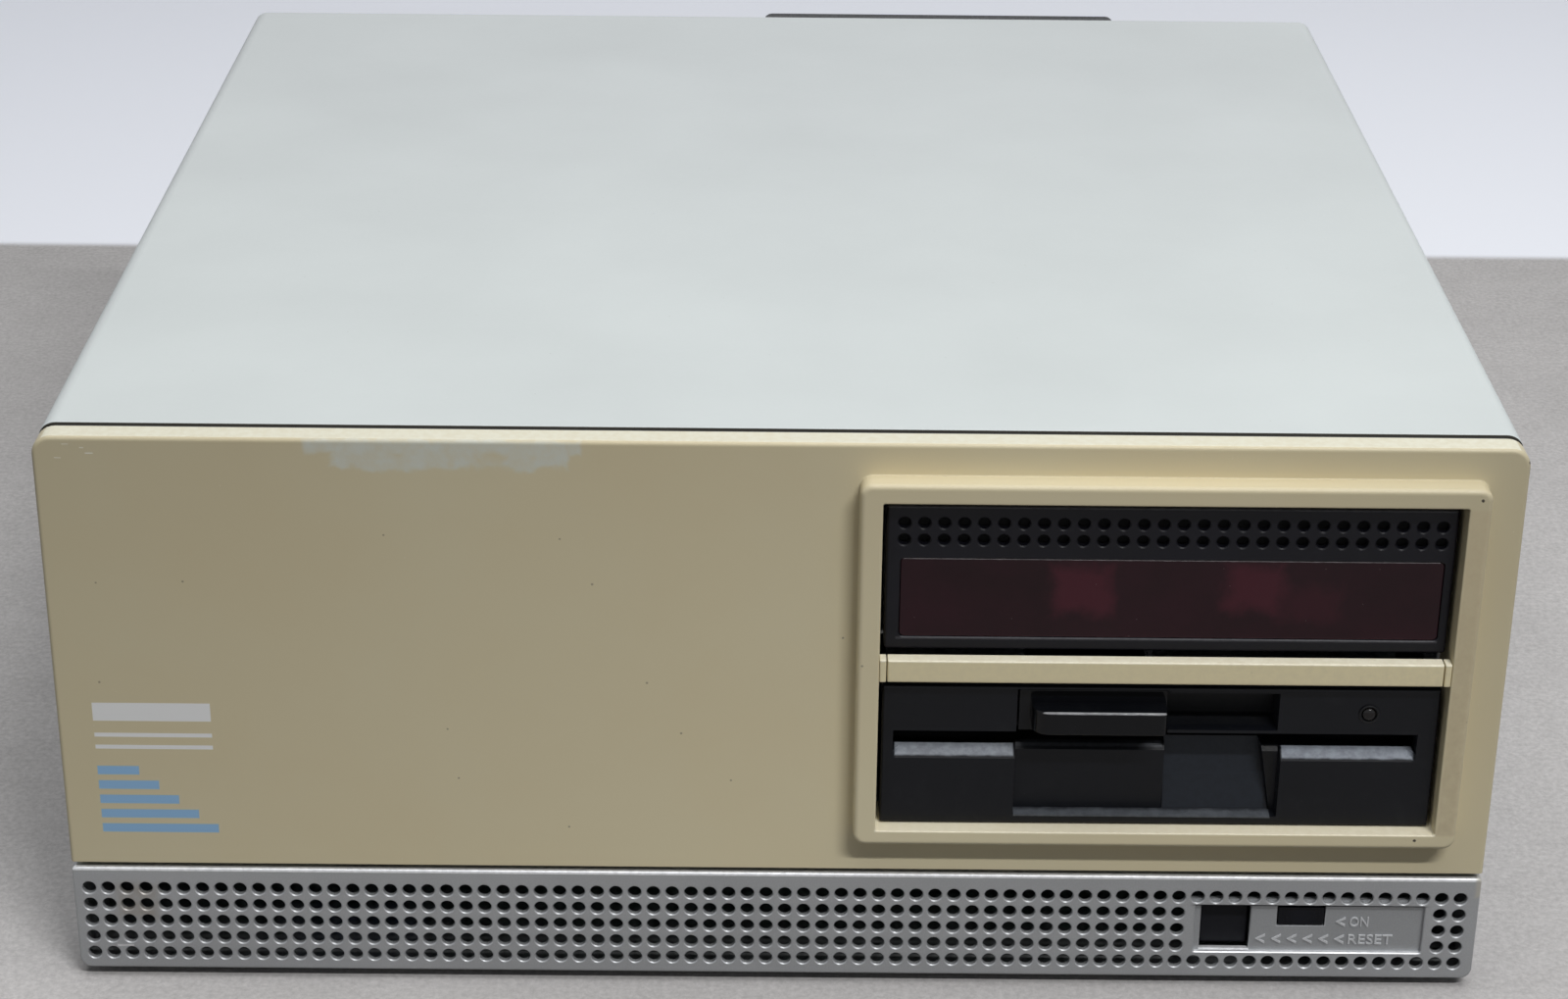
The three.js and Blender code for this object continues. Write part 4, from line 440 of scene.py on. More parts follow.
# 1 inside a box of the given centre and half sizes, fading over feather, with a wavy edge.
def buildBox(g, place, centre, half, feather, wave, waveScale):
    waves = g.add("TexNoise", {"Vector": place, "Scale": waveScale, "Detail": 3.0})
    shift = g.scaled(g.vector("SUBTRACT", waves.outputs["Color"], (0.5, 0.5, 0.5)), wave)
    away = g.vector("ABSOLUTE", g.vector("SUBTRACT", g.vector("ADD", place, shift), centre))
    x, y, z = g.split(g.vector("SUBTRACT", away, half))
    furthest = g.math("MAXIMUM", g.math("MAXIMUM", x, y), z)
    return g.between(furthest, g.times(feather, -1.0), feather, 1.0, 0.0)


# Dots in some of the cells of a flat Voronoi pattern, which leans so that it suits every side.
def buildSpecks(g, place, scale, size, share):
    x, y, z = g.split(place)
    lean = g.times(y, 0.8)
    flat = g.add("CombineXYZ", {0: g.math("ADD", x, lean), 1: g.math("SUBTRACT", z, lean)}).outputs[0]
    cells = g.add("TexVoronoi", {"Vector": flat, "Scale": scale}, voronoi_dimensions="2D").outputs
    size = g.times(size, g.between(cells["Color"], 0, 1, 0.4, 1.0, False))
    near = g.math("LESS_THAN", cells["Distance"], size)
    return g.times(near, g.math("LESS_THAN", g.split(cells["Color"])[1], share))


# The fine relief of sprayed paint or spark-eroded moulds, from two sizes of noise.
def buildGrain(g, place, scale):
    coarse = g.noise(place, scale, 2.0, 0.5)
    fine = g.noise(place, g.times(scale, 3.1), 2.0, 0.6)
    return g.math("ADD", g.times(coarse, 0.65), g.times(fine, 0.35))


# A slow change of shade over the surface, from low to high.
def buildTone(g, place, scale, low, high):
    return g.between(g.noise(place, scale, 4.0, 0.55), 0.3, 0.7, low, high, False)


boxInputs = ("Vector", "Centre", "Half", "Feather", "Wave", "Wave Scale")
boxMask = shaderGroup("soft box", boxInputs, "Mask", buildBox)
speckMask = shaderGroup("specks", ("Vector", "Scale", "Size", "Share"), "Mask", buildSpecks)
grainHeight = shaderGroup("grain", ("Vector", "Scale"), "Height", buildGrain)
slowTone = shaderGroup("slow tone", ("Vector", "Scale", "Low", "High"), "Tone", buildTone)


# A material whose shader gets constant sockets here and the rest from look, which returns them.
def finish(name, look, **constants):
    material = bpy.data.materials.new(name)
    material.use_nodes = True
    graph = Graph(material.node_tree)
    shader = material.node_tree.nodes["Principled BSDF"]
    for key, value in constants.items():
        shader.inputs[key.replace("_", " ")].default_value = value
    for key, value in look(graph, graph.place()).items():
        graph.put(shader.inputs[key], value)
    return material


# Lets a look take its settings first, and the graph and the place later.
def settable(look):
    return lambda *settings: lambda g, place: look(g, place, *settings)


# The cover's paint has one shade at the front and one at the rear, a painted light that falls off towards the
# rear
paint = {"front": (0.655, 0.700, 0.695), "rear": (0.625, 0.660, 0.665), "grain": 0.9, "relief": 0.05,
         "cut": (-180.9, -180.78), "cutEdgeShadow": (0.03, 0.027, 0.02)}


def coverLook(g, place):
    along = g.split(place)[1]
    # painted light: paler at the front, darker at the rear
    colour = g.mix(g.between(along, -190, 190), paint["front"], paint["rear"])
    colour = g.toned(colour, g.tone(place, 0.012, 0.96, 1.03))
    colour = g.speckled(colour, place, 0.09, 0.03, 0.07, 0.45, (0.40, 0.42, 0.38))
    colour = g.speckled(colour, place, 0.12, 0.035, 0.05, 0.4, (0.82, 0.84, 0.84))
    # a painted shadow on the sheet's cut front edge, in the seam behind the bezel's top
    colour = g.mix(g.between(along, *paint["cut"], 1.0, 0.0), colour, paint["cutEdgeShadow"])
    return g.surface(colour, g.group(grainHeight, place, paint["grain"]), 0.50, 0.60, paint["relief"])


plastic = {"body": (0.695, 0.607, 0.403), "pale": (0.710, 0.638, 0.440), "bare": (0.66, 0.675, 0.60),
           "nick": (0.05, 0.042, 0.03), "blue": (0.34, 0.58, 0.86), "white": (0.95, 0.955, 0.95)}
badge = {"left": -180.5, "right": -149.5, "bottom": 46.0, "bars": 5, "pitch": 4.4, "bar": 2.6, "shorter": 5.0,
         "white": ((79.8, 85.2), (75.0, 76.2), (71.4, 72.6)), "depth": (-190.6, -189)}
patch = {"high": ((-121, -51), (-200, -189.2), (157.4, 161.2)),
         "low": ((-114, -54), (-200, -189.2), (153.2, 161.2))}
# dark nicks, each a place and a reach: on the surround's corner and foot, and the bezel's edge
nicks = [((177.2, -196.2, 150.0), 0.55), ((169.1, -196.2, 50.4), 0.5), ((189.4, -189.2, 157.5), 0.7)]


def bezelLook(g, place):
    colour = g.mix(g.tone(place, 0.014), plastic["body"], plastic["pale"])
    x, _, z = g.split(place)
    # Painted light: darker towards both sides and the top, paler towards the bottom
    paintedFalloff = g.times(g.between(x, -190, -10, 0.95, 1.07, False), g.between(x, 110, 190, 1.0, 0.86, False),
                   g.between(z, 40, 160, 1.13, 0.90, False))
    colour = g.toned(colour, paintedFalloff)
    cleaned = g.math("MAXIMUM", g.inBox(place, patch["high"], 0.9, 7.0, 0.08),
                     g.inBox(place, patch["low"], 0.9, 9.0, 0.11))
    cleaned = g.times(cleaned, g.between(g.noise(place, 0.25, 3.0, 0.6), 0.3, 0.7, 0.55, 0.95))
    colour = g.mix(cleaned, colour, plastic["bare"])
    for centre, reach in nicks:
        offset = g.vector("SUBTRACT", place, centre)
        away = g.add("VectorMath", {0: offset}, operation="LENGTH").outputs["Value"]
        away = g.math("ADD", away, g.times(g.noise(place, 1.2, 3.0, 0.6), reach))
        colour = g.mix(g.between(away, reach * 1.1, reach * 1.5, 1.0, 0.0), colour, plastic["nick"])
    bars = [(badge["right"], low, high, plastic["white"]) for low, high in badge["white"]]
    bars += [(badge["right"] - row * badge["shorter"], low, low + badge["bar"], plastic["blue"])
             for row, low in enumerate(badge["bottom"] + badge["pitch"] * np.arange(badge["bars"]))]
    for end, low, high, shade in bars:
        bar = g.inBox(place, ((badge["left"], end), badge["depth"], (low, high)), 0.06)
        colour = g.mix(bar, colour, shade)
    colour = g.speckled(colour, place, 0.07, 0.04, 0.12, 0.6, (0.20, 0.17, 0.12))
    colour = g.speckled(colour, place, 0.1, 0.022, 0.05, 0.6, (0.85, 0.82, 0.72))
    return g.surface(colour, g.group(grainHeight, place, 1.1), 0.42, 0.55, 0.05, 0.5)


# Silver paint: a slow change of shade and fine paler flakes.
@settable
def silverLook(g, place, base, flake):
    flakes = g.noise(place, 2.2, 3.0, 0.7)
    colour = g.toned(base, g.tone(place, 0.03, 0.94, 1.04))
    colour = g.mix(g.between(flakes, 0.35, 0.75, 0.0, 0.35), colour, flake)
    return g.surface(colour, flakes, 0.38, 0.52, 0.03, 0.5)


# Dark mouldings: base colour, how strongly scuffs show, the size of the grain and its relief.
@settable
def darkLook(g, place, base, scuff, grain, low=0.34, high=0.5, relief=0.04):
    colour = g.toned(base, g.tone(place, 0.03, 0.8, 1.25))
    film = g.between(g.noise(place, 0.16, 4.0, 0.6), 0.5, 0.8)
    colour = g.mix(g.times(film, scuff * 0.12), colour, (0.13, 0.14, 0.15))
    colour = g.speckled(colour, place, 0.3, 0.045, 0.05, scuff, (0.16, 0.165, 0.17))
    return g.surface(colour, g.group(grainHeight, place, grain), low, high, relief)


# Sheet steel with a zinc spangle: cells of slightly different shade and gloss.
def zincLook(g, place):
    cells = g.add("TexVoronoi", {"Vector": place, "Scale": 0.3})
    shade = g.between(g.split(cells.outputs["Color"])[0], 0, 1, 0.0, 1.0, False)
    made = g.surface(g.mix(shade, (0.40, 0.41, 0.42), (0.46, 0.47, 0.48)), g.noise(place, 0.8, 3.0, 0.6),
                     0.42, 0.52, 0.02, 0.5)
    made["Roughness"] = g.math("ADD", made["Roughness"], g.times(shade, 0.08))
    return made


# Metal with a fine directional or cast relief.
@settable
def metalLook(g, place, base, scale, low, high, relief=0.03):
    grain = g.group(grainHeight, place, scale)
    colour = g.mix(g.between(grain, 0.35, 0.65), base, [c * 0.86 for c in base])
    return g.surface(colour, grain, low, high, relief)


# The floppy drive's castings: bare alloy, and black in front of a line as painted shade that keeps the slot
# dark inside.
painted = {"line": -140.0, "fade": 0.6, "black": (0.006, 0.006, 0.007)}
alloyLook = metalLook((0.52, 0.53, 0.54), 0.7, 0.42, 0.6, 0.08)


def castingLook(g, place):
    made = alloyLook(g, place)
    front = g.between(g.split(place)[1], painted["line"], painted["line"] + painted["fade"], 1.0, 0.0)
    made["Base Color"] = g.mix(front, made["Base Color"], painted["black"])
    return made


# redder blurred places, a painted glow on the window in place of what shows through it: left, right, low, high
# and how strong
paintedGlows = ((70.5, 85.5, 115, 127.5, 0.85), (115, 129, 115.5, 128.5, 0.8), (130, 144, 113, 122, 0.3))


# Glossy dark red window: mottled, with the redder places of painted glow and a little dust.
def windowLook(g, place):
    tone = g.tone(place, 0.05)
    colour = g.mix(tone, (0.016, 0.0035, 0.006), (0.026, 0.005, 0.010))
    for left, right, low, high, share in paintedGlows:
        glow = g.inBox(place, ((left, right), (-195, -180), (low, high)), 2.8, 7.0, 0.18)
        colour = g.mix(g.times(glow, share), colour, (0.074, 0.0115, 0.022))
    colour = g.speckled(colour, place, 0.2, 0.035, 0.08, 0.5, (0.30, 0.26, 0.25))
    return {"Base Color": colour, "Roughness": g.between(tone, 0, 1, 0.07, 0.12)}


board = {"green": (0.012, 0.085, 0.038), "thickness": 1.6, "slack": 0.15, "over": 0.05,
         "tracks": (2.54, 3.3), "line": 0.22, "pads": 2.54, "pad": 0.2345}


# A circuit board: lacquered green between two planes along an axis, dark parts off it, with fine
# tracks and rows of pads worked out from the place on the board.
@settable
def boardLook(g, place, axis, low, high):
    xyz = list(g.split(place))
    level = xyz.pop(axis)
    over, green = board["over"], board["green"]
    onBoard = g.times(g.math("GREATER_THAN", level, low - over), g.math("LESS_THAN", level, high + over))
    tracks = [g.math("LESS_THAN", g.math("FRACT", g.math("DIVIDE", value, pitch)), board["line"])
              for value, pitch in zip(xyz, board["tracks"])]
    choose = g.math("GREATER_THAN", g.noise(place, 0.035, 2.0), 0.5)
    track = g.split(g.mix(choose, *(g.add("CombineColor", {0: line}).outputs[0] for line in tracks)))[0]
    dots = [g.math("SUBTRACT", g.math("FRACT", g.math("DIVIDE", value, board["pads"])), 0.5) for value in xyz]
    pad = g.times(g.math("LESS_THAN", g.reach(*dots), board["pad"]),
                  g.math("GREATER_THAN", g.noise(place, 0.06, 2.0), 0.55))
    colour = g.mix(g.times(track, 0.6), green, [c * 2.1 for c in green])
    colour = g.mix(pad, colour, (0.50, 0.47, 0.40))
    tone = g.noise(place, 0.08)
    parts = g.mix(g.between(tone, 0.3, 0.7), (0.016, 0.016, 0.018), (0.035, 0.035, 0.036))
    height = g.times(g.math("ADD", g.times(track, 0.5), g.times(pad, 0.8)), onBoard)
    return g.surface(g.mix(onBoard, parts, colour), tone, 0.28, 0.42, 0.06, 0.7, height)


# A look with places of another shade on it: each is a box, how softly it fades, and its shade.
@settable
def withPlaces(g, place, look, places):
    made = look(g, place)
    patchy = g.between(g.noise(place, 0.5, 3.0, 0.6), 0.3, 0.7, 0.7, 1.0)
    for box, feather, shade in places:
        mask = g.times(g.inBox(place, box, feather, feather * 1.5, 0.3), patchy)
        made["Base Color"] = g.mix(mask, made["Base Color"], shade)
    return made


# The ribs of a flat lead, one to each of its wires at their pitch.
def ribbonLook(g, place):
    wave = g.math("SINE", g.times(g.split(place)[2], 2 * math.pi / 1.27))
    colour = g.mix(g.between(wave, -1, 1), (0.28, 0.29, 0.31), (0.42, 0.43, 0.46))
    return g.surface(colour, g.noise(place, 0.2, 2.0), 0.42, 0.52, 0.15, 0.8, wave)


# A lens with a soft inner glow ring round its middle.
@settable
def lensLook(g, place, base, centre, radius):
    x, _, z = g.split(g.vector("SUBTRACT", place, centre))
    colour = g.mix(g.between(g.reach(x, z), radius * 0.2, radius), [c * 1.7 for c in base], base)
    return g.surface(colour, g.noise(place, 0.9), 0.16, 0.26)


def rubberLook(g, place):
    grain = g.group(grainHeight, place, 1.4)
    return g.surface(g.mix(g.between(grain, 0.3, 0.7), (0.012, 0.012, 0.012), (0.022, 0.021, 0.020)),
                     grain, 0.7, 0.85, 0.06)


scratch = (0.86, 0.84, 0.76)
# Places of another shade for each look: some are real wear, stains and scratches, some are painted highlights,
# reflections, light and shade
wearAndPaintedLight = {
    # the surround's darker right side, the divider's paler face, painted highlights on the divider's top edge
    # and on the opening's foot, and the bezel's pale upper edge with a few scratches at its left
    "bezel": [(((174.8, 181.0), (-197.0, -195.9), (52.0, 147.0)), 0.8, (0.575, 0.485, 0.320)),
              (((25.9, 174.1), (-196.8, -195.5), (96.8, 102.6)), 0.2, (0.87, 0.77, 0.50)),
              (((25.9, 174.1), (-196.9, -192.5), (102.6, 103.5)), 0.1, (1.0, 0.95, 0.76)),
              (((25.5, 174.5), (-197.0, -190.0), (51.55, 52.3)), 0.12, (0.95, 0.88, 0.68)),
              (((-190.0, 190.0), (-189.3, -181.5), (160.9, 162.2)), 0.12, (0.80, 0.78, 0.64)),
              (((-184.2, -182.5), (-190.3, -189.4), (155.5, 155.7)), 0.08, scratch),
              (((-176.3, -174.3), (-190.3, -189.4), (156.8, 157.1)), 0.08, scratch),
              (((-182.0, -180.4), (-190.3, -188.9), (159.3, 159.5)), 0.08, scratch),
              (((-177.6, -176.6), (-190.3, -189.4), (158.3, 158.6)), 0.10, scratch)],
    # painted reflections on the slopes under the slot, a painted highlight on the ledge under the recess, the
    # bluish scoop, painted light in the finger pocket, and painted shade on the scoop's side wall
    "floppy": [(((30.6, 61.9), (-192.6, -187.6), (72.4, 74.65)), 0.25, (0.33, 0.355, 0.395)),
               (((132.9, 167.4), (-192.6, -187.6), (72.4, 74.65)), 0.25, (0.335, 0.365, 0.415)),
               (((62.6, 101.6), (-189.4, -185.5), (73.5, 74.65)), 0.25, (0.065, 0.070, 0.080)),
               # a painted highlight on the upward ledge under the recess
               (((62.6, 130.8), (-192.2, -188.3), (54.5, 55.2)), 0.15, (0.105, 0.115, 0.130)),
               (((102.6, 129.4), (-189.0, -181.5), (55.4, 65.0)), 0.4, (0.0115, 0.0145, 0.0205)),
               (((102.6, 127.7), (-189.0, -181.5), (64.2, 74.0)), 0.4, (0.0115, 0.0145, 0.0205)),
               # painted light in the finger pocket, whose back would otherwise sit black in shade
               (((101.5, 130.8), (-189.0, -181.0), (81.2, 91.8)), 0.3, (0.012, 0.0125, 0.0135)),
               # painted shade on the scoop's leaning side wall
               *((((130.6 - 0.8 * k, 131.3), (-191.7, -181.5), (55.3 + 4.7 * k, 60.0 + 4.7 * k)), 0.12,
                  (0.001, 0.001, 0.0012)) for k in range(4))],
    # a painted highlight along the paddle's top front edge
    "latch": [(((65.8, 100.8), (-199.3, -198.5), (89.05, 89.6)), 0.12, (0.36, 0.365, 0.38))],
    # painted highlights along the bezel's top edge and the sill under the window
    "disk": [(((27.2, 172.8), (-191.2, -190.3), (144.2, 145.0)), 0.15, (0.10, 0.10, 0.112)),
             (((30.0, 170.6), (-191.2, -188.0), (106.7, 107.35)), 0.12, (0.045, 0.045, 0.052))],
    # painted highlights along the window's top and bottom edges
    "window": [(((31.2, 169.4), (-191.0, -190.0), (129.62, 130.0)), 0.1, (0.50, 0.46, 0.48)),
               (((31.2, 169.4), (-191.0, -190.0), (107.3, 107.7)), 0.1, (0.10, 0.035, 0.045))],
    # painted highlights on the edge over the holes and on the ledge round the panel, rubbed paint at the right
    # corner, and a stain and a scratch at the left
    "grille": [(((-190, 190), (-190.4, -188.9), (33.85, 35.0)), 0.12, (0.95, 0.96, 0.98)),
               (((188.6, 190.4), (-190.5, -183.0), (29.0, 34.9)), 0.6, (0.50, 0.48, 0.42)),
               (((-178, -168), (-190.4, -188), (19.5, 29.0)), 2.5, (0.33, 0.30, 0.26)),
               (((-179.5, -175.0), (-190.4, -189.5), (9.9, 10.5)), 0.2, (0.74, 0.74, 0.75)),
               (((113.3, 175.5), (-190.1, -188.0), (10.8, 11.1)), 0.1, (0.78, 0.79, 0.81))],
    # a painted highlight on the sill under the button's hole
    "panel": [(((115.0, 128.7), (-188.9, -187.0), (10.9, 11.4)), 0.1, (0.95, 0.96, 0.98))],
}

grillePaint = silverLook((0.39, 0.40, 0.41), (0.54, 0.55, 0.57))
panelPaint = silverLook((0.335, 0.345, 0.355), (0.46, 0.47, 0.485))
diskBlack = darkLook((0.0041, 0.0041, 0.0070), 0.15, 1.3, 0.38, 0.52)
glossBlack = darkLook((0.0042, 0.0046, 0.0060), 0.1, 0.6, 0.10, 0.16, 0.01)
floppyBlack = darkLook((0.0038, 0.0044, 0.0064), 0.2, 1.2)
plainBlack = darkLook((0.0042, 0.0046, 0.0054), 0.2, 1.2)
looks = {
    "cover_paint": finish("cover paint", coverLook, Specular_IOR_Level=0.4),
    "bezel_plastic": finish("bezel plastic", withPlaces(bezelLook, wearAndPaintedLight["bezel"]), Specular_IOR_Level=0.45),
    "grille_metal": finish("grille paint", withPlaces(grillePaint, wearAndPaintedLight["grille"]), Metallic=0.45),
    "panel_metal": finish("panel paint", withPlaces(panelPaint, wearAndPaintedLight["panel"]), Metallic=0.45),
    "mark_silver": finish("raised marks", metalLook((0.74, 0.75, 0.77), 0.9, 0.35, 0.5), Metallic=0.1),
    "steel_sheet": finish("zinc sheet", zincLook, Metallic=0.9),
    "machined_steel": finish("machined steel", metalLook((0.55, 0.55, 0.56), 0.9, 0.22, 0.34), Metallic=1.0),
    "black_plastic": finish("black plastic", plainBlack, Specular_IOR_Level=0.25),
    "disk_plastic": finish("disk plastic", withPlaces(diskBlack, wearAndPaintedLight["disk"]), Specular_IOR_Level=0.24),
    "gloss_black": finish("gloss black", withPlaces(glossBlack, wearAndPaintedLight["latch"]), Specular_IOR_Level=0.2),
    "floppy_front": finish("floppy plastic", withPlaces(floppyBlack, wearAndPaintedLight["floppy"]), Specular_IOR_Level=0.22),
    "smoked_window": finish("smoked window", withPlaces(windowLook, wearAndPaintedLight["window"]), Specular_IOR_Level=0.22),
    "rubber": finish("rubber", rubberLook),
    "casting": finish("casting", alloyLook, Metallic=0.85),
    "drive_casting": finish("drive casting", castingLook, Metallic=0.85),
    "platter": finish("platter", metalLook((0.46, 0.33, 0.20), 0.3, 0.08, 0.14, 0.004), Metallic=0.9),
    "battery_wrap": finish("battery wrap", metalLook((0.02, 0.06, 0.30), 0.3, 0.18, 0.28, 0.05)),
    "lead_grey": finish("ribbon lead", ribbonLook),
    "rocker_plastic": finish("rocker", metalLook((0.42, 0.03, 0.02), 0.5, 0.16, 0.24, 0.01)),
}
print("materials made")

# Front bezel.

bezel = {
    "outer": (-190, 190, 36.3, 161.5), "outerCorners": (1.2, 1.2, 5.2, 5.2), "edge": 1.1, "depth": 7.1,
    "surround": (20, 180, 47.5, 152.8), "surroundCorners": (3.2,) * 4, "surroundEdge": 1.3, "proud": 6.2,
    "opening": (25.8, 174.2, 51.9, 147.5), "openingCorners": (0.6,) * 4, "lip": 0.35, "wall": 2.6,
    "collar": 9.7, "collarWall": 2.0, "root": 0.3, "apron": 0.4, "rear": 0.35, "footEdge": 0.2, "footReach": 6,
}


# Loops from the rear edge over the face, up round the surround, in at the opening to its collar's
# end, and back along the inside.
def makeBezel(s):
    loops, depths = [], []

    def stations(part, *pairs):
        for inset, depth in pairs:
            loops.append(roundedLoop(s[part], s[part + "Corners"], 8, None, inset))
            depths.append(depth)

    def rounding(part, edge, depth):
        some, at = turnIn(s[part], s[part + "Corners"], edge, depth, 8, None, 6)
        loops.extend(some)
        depths.extend(at)

    rear, root, lip, wall, proud = (s[key] for key in ("rear", "root", "lip", "wall", "proud"))
    depth, middle = s["depth"], rear * midTurn
    stations("outer", (rear, depth), (middle, depth - middle), (0, depth - rear))
    rounding("outer", s["edge"], 0.0)
    foot = s["outer"][2]
    for loop in loops[3:]:  # the bottom edge is almost sharp, so its points go back down
        share = np.where(loop[:, 1] < foot + s["footReach"], s["footEdge"], 1)
        loop[:, 1] = foot + (loop[:, 1] - foot) * share
    turns = [(1 - math.sin(t), 1 - math.cos(t)) for t in quarter(3)]
    stations("surround", (-root - s["apron"], 0.0), *((-root * away, -root * out) for away, out in turns))
    rounding("surround", s["surroundEdge"], -proud)
    stations("opening", (-lip - onFace, -proud), *((-lip * away, lip * back - proud) for away, back in turns),
             (0, s["collar"]), (-s["collarWall"], s["collar"]), (-s["collarWall"], wall))
    stations("outer", (wall, wall), (wall, depth))
    return makePiece("frontBezel", *joinLoops(loops, depths))


seat(makeBezel(bezel), "chassis", looks["bezel_plastic"], "bezel_plastic", "front_bezel")

divider = {"box": (27.9, 172.1, 96.6, 103.0), "depths": (-6.3, -2.7), "corner": 0.3, "edge": 0.45, "arc": 2}
seatBlock("bayDivider", divider, "chassis", looks["bezel_plastic"], "bezel_plastic", "bay_divider")

# The bar's clipped ends: a short stub at each side of the opening, with a thin joint to the bar.
stubs = {"dividerStubLeft": (25.9, 27.6), "dividerStubRight": (172.4, 174.1)}
for name, sides in stubs.items():
    stub = {**divider, "box": (*sides, *divider["box"][2:]), "corner": 0.2, "edge": 0.35}
    seatBlock(name, stub, "chassis", looks["bezel_plastic"], "bezel_plastic")

# Dark rubber bands put in as painted shadow: one in the seam between bezel and cover, one in the gap over the
# grille.
seamShadow = {"box": (-189.6, 189.6, 36.6, 160.95), "corners": (1, 1, 5.2, 5.2), "front": 6.8, "back": 8.8,
        "wall": 2.0}
rings = [roundedLoop(seamShadow["box"], seamShadow["corners"], 8, None, seamShadow["wall"] * side) for side in (0, 0, 1, 1)]
lip = makePiece("seamShadowBand", *joinLoops(rings, [seamShadow[key] for key in ("front", "back", "back", "front")]))
seat(lip, "chassis", looks["rubber"], "rubber")
gapShadow = {"box": (-187.5, 187.5, 34.9, 35.9), "depths": (2.4, 4.2), "corner": 0.1, "edge": 0.1, "arc": 1}
seatBlock("gapShadowBand", gapShadow, "chassis", looks["rubber"], "rubber")
print("bezel made")

# Cover.

cover = {"half": 190.0, "bottom": 35.6, "top": 161.5, "corner": 4.8, "sheet": 1.2, "front": 8.9,
         "back": 377.5, "edge": 0.4, "band": 1.0}


# Half of the folded sheet's outline, from the left foot over the top to the right foot, set in by
# inset: straight sides, and a quarter circle at each shoulder.
def coverLine(s, inset):
    turn = np.radians(np.linspace(180, 90, 15))
    radius, side, shoulder = s["corner"] - inset, s["corner"] - s["half"], s["top"] - s["corner"]
    left = np.stack([side + radius * np.cos(turn), shoulder + radius * np.sin(turn)], 1)
    right = left[::-1] * (-1, 1)
    rise = np.linspace(s["bottom"], shoulder, 5)[:-1]
    wall = np.stack([np.full(len(rise), inset - s["half"]), rise], 1)
    across = np.stack([np.linspace(left[-1, 0], right[0, 0], 9)[1:-1], np.full(7, s["top"] - inset)], 1)
    return np.concatenate([wall, left, across, right, wall[::-1] * (-1, 1)])


def makeCover(s):
    edge, front, back = s["edge"], s["front"], s["back"]
    ends = [(edge, 0), (edge * midTurn, edge * midTurn), (0, edge), (0, edge + s["band"])]
    stations = [(inset, front + along) for inset, along in ends]
    stations += [(0, front + (back - front) * k / 6) for k in range(1, 6)]
    stations += [(inset, back - along) for inset, along in ends[::-1]]
    inner = coverLine(s, s["sheet"])[::-1]
    loops = [np.concatenate([coverLine(s, inset), inner]) for inset, _ in stations]
    points, faces = joinLoops(loops, [depth for _, depth in stations], closed=False)
    size = len(loops[0])
    first = np.arange(size // 2 - 1)
    edges = np.stack([first, first + 1, size - 2 - first, size - 1 - first], -1)
    return makePiece("topCover", points, faces + list(edges) + list(edges[:, ::-1] + (len(loops) - 1) * size))


seat(makeCover(cover), "cover", looks["cover_paint"], "cover_paint", "top_cover")
print("cover made")

# Perforated grille and its switch panel.

grille = {
    "outer": (-190, 190, 3, 34.8), "corners": (3, 3, 1.2, 1.2), "edge": 0.6, "plate": 1.6, "depth": 7.7,
    "pitch": (5.076, 5.12), "columns": 74, "rows": 5, "left": -185.78, "low": 7.85, "radius": 1.84,
    "bevel": 0.28, "bare": (59, 72, 1, 4), "panel": (113.3, 175.5, 11, 25.8), "panelCorners": (0.7,) * 4,
    "soft": 0.25,
}


def makeGrille(s):
    column, row, centres, field = lattice(s)
    c0, c1, r0, r1 = s["bare"]
    kept = ~((column >= c0) & (column < c1) & (row >= r0) & (row < r1))
    plate, soft = s["plate"], s["soft"]
    marks = (cellShares(s["columns"]), cellShares(s["rows"])) * 2
    rim = plateRim(field, s, 0.0, s["depth"], plate, plate, 5, marks)
    (px, pz), x0, z0 = s["pitch"], field[0], field[2]
    marks = (cellShares(c1 - c0), cellShares(r1 - r0)) * 2
    hole = roundedLoop((x0 + px * c0, x0 + px * c1, z0 + pz * r0, z0 + pz * r1), sharpCorners, 4, marks)
    recess = [roundedLoop(s["panel"], s["panelCorners"], 4, marks, inset) for inset in (-soft, 0, 0)]
    inner = joinLoops([hole, *recess, hole], [0.0, 0.0, soft, plate, plate], closed=False)
    return makePiece("frontGrille", *merged(holedCells(centres[kept], s, 0.0, plate), rim, inner))


seat(makeGrille(grille), "chassis", looks["grille_metal"], "grille_metal", "front_grille")

panel = {
    "box": (111.9, 176.9, 9.6, 27.2), "front": 1.3, "back": 2.8, "soft": 0.25,
    "holes": ((115.1, 128.6, 11.3, 25.1), (135.8, 148.9, 18.7, 24.8)),
}


# The plate behind the recess, with a softened hole for the button and one for the lamp.
def makePanel(s):
    soft = s["soft"]
    xs, zs = list(s["box"][:2]), list(s["box"][2:])
    for x0, x1, z0, z1 in s["holes"]:
        xs += [x0 - soft, x0, x1, x1 + soft]
        zs += [z0 - soft, z0, z1, z1 + soft]
    xs, zs = np.unique(xs), np.unique(zs)
    across, up = np.meshgrid(xs, zs)
    front = np.full(across.shape, s["front"])
    keep = np.ones((len(zs) - 1, len(xs) - 1), bool)
    for hole in s["holes"]:
        x0, x1, z0, z1 = hole
        away = np.maximum(np.maximum(x0 - across, across - x1), np.maximum(z0 - up, up - z1))
        front = np.where(away < soft * 0.5, s["front"] + soft, front)
        keep &= ~cellsIn(hole, xs, zs)
    return makePiece("switchPanel", *gridPlate(across, up, front, np.full(across.shape, s["back"]), keep))


seat(makePanel(panel), "chassis", looks["panel_metal"], "grille_metal")

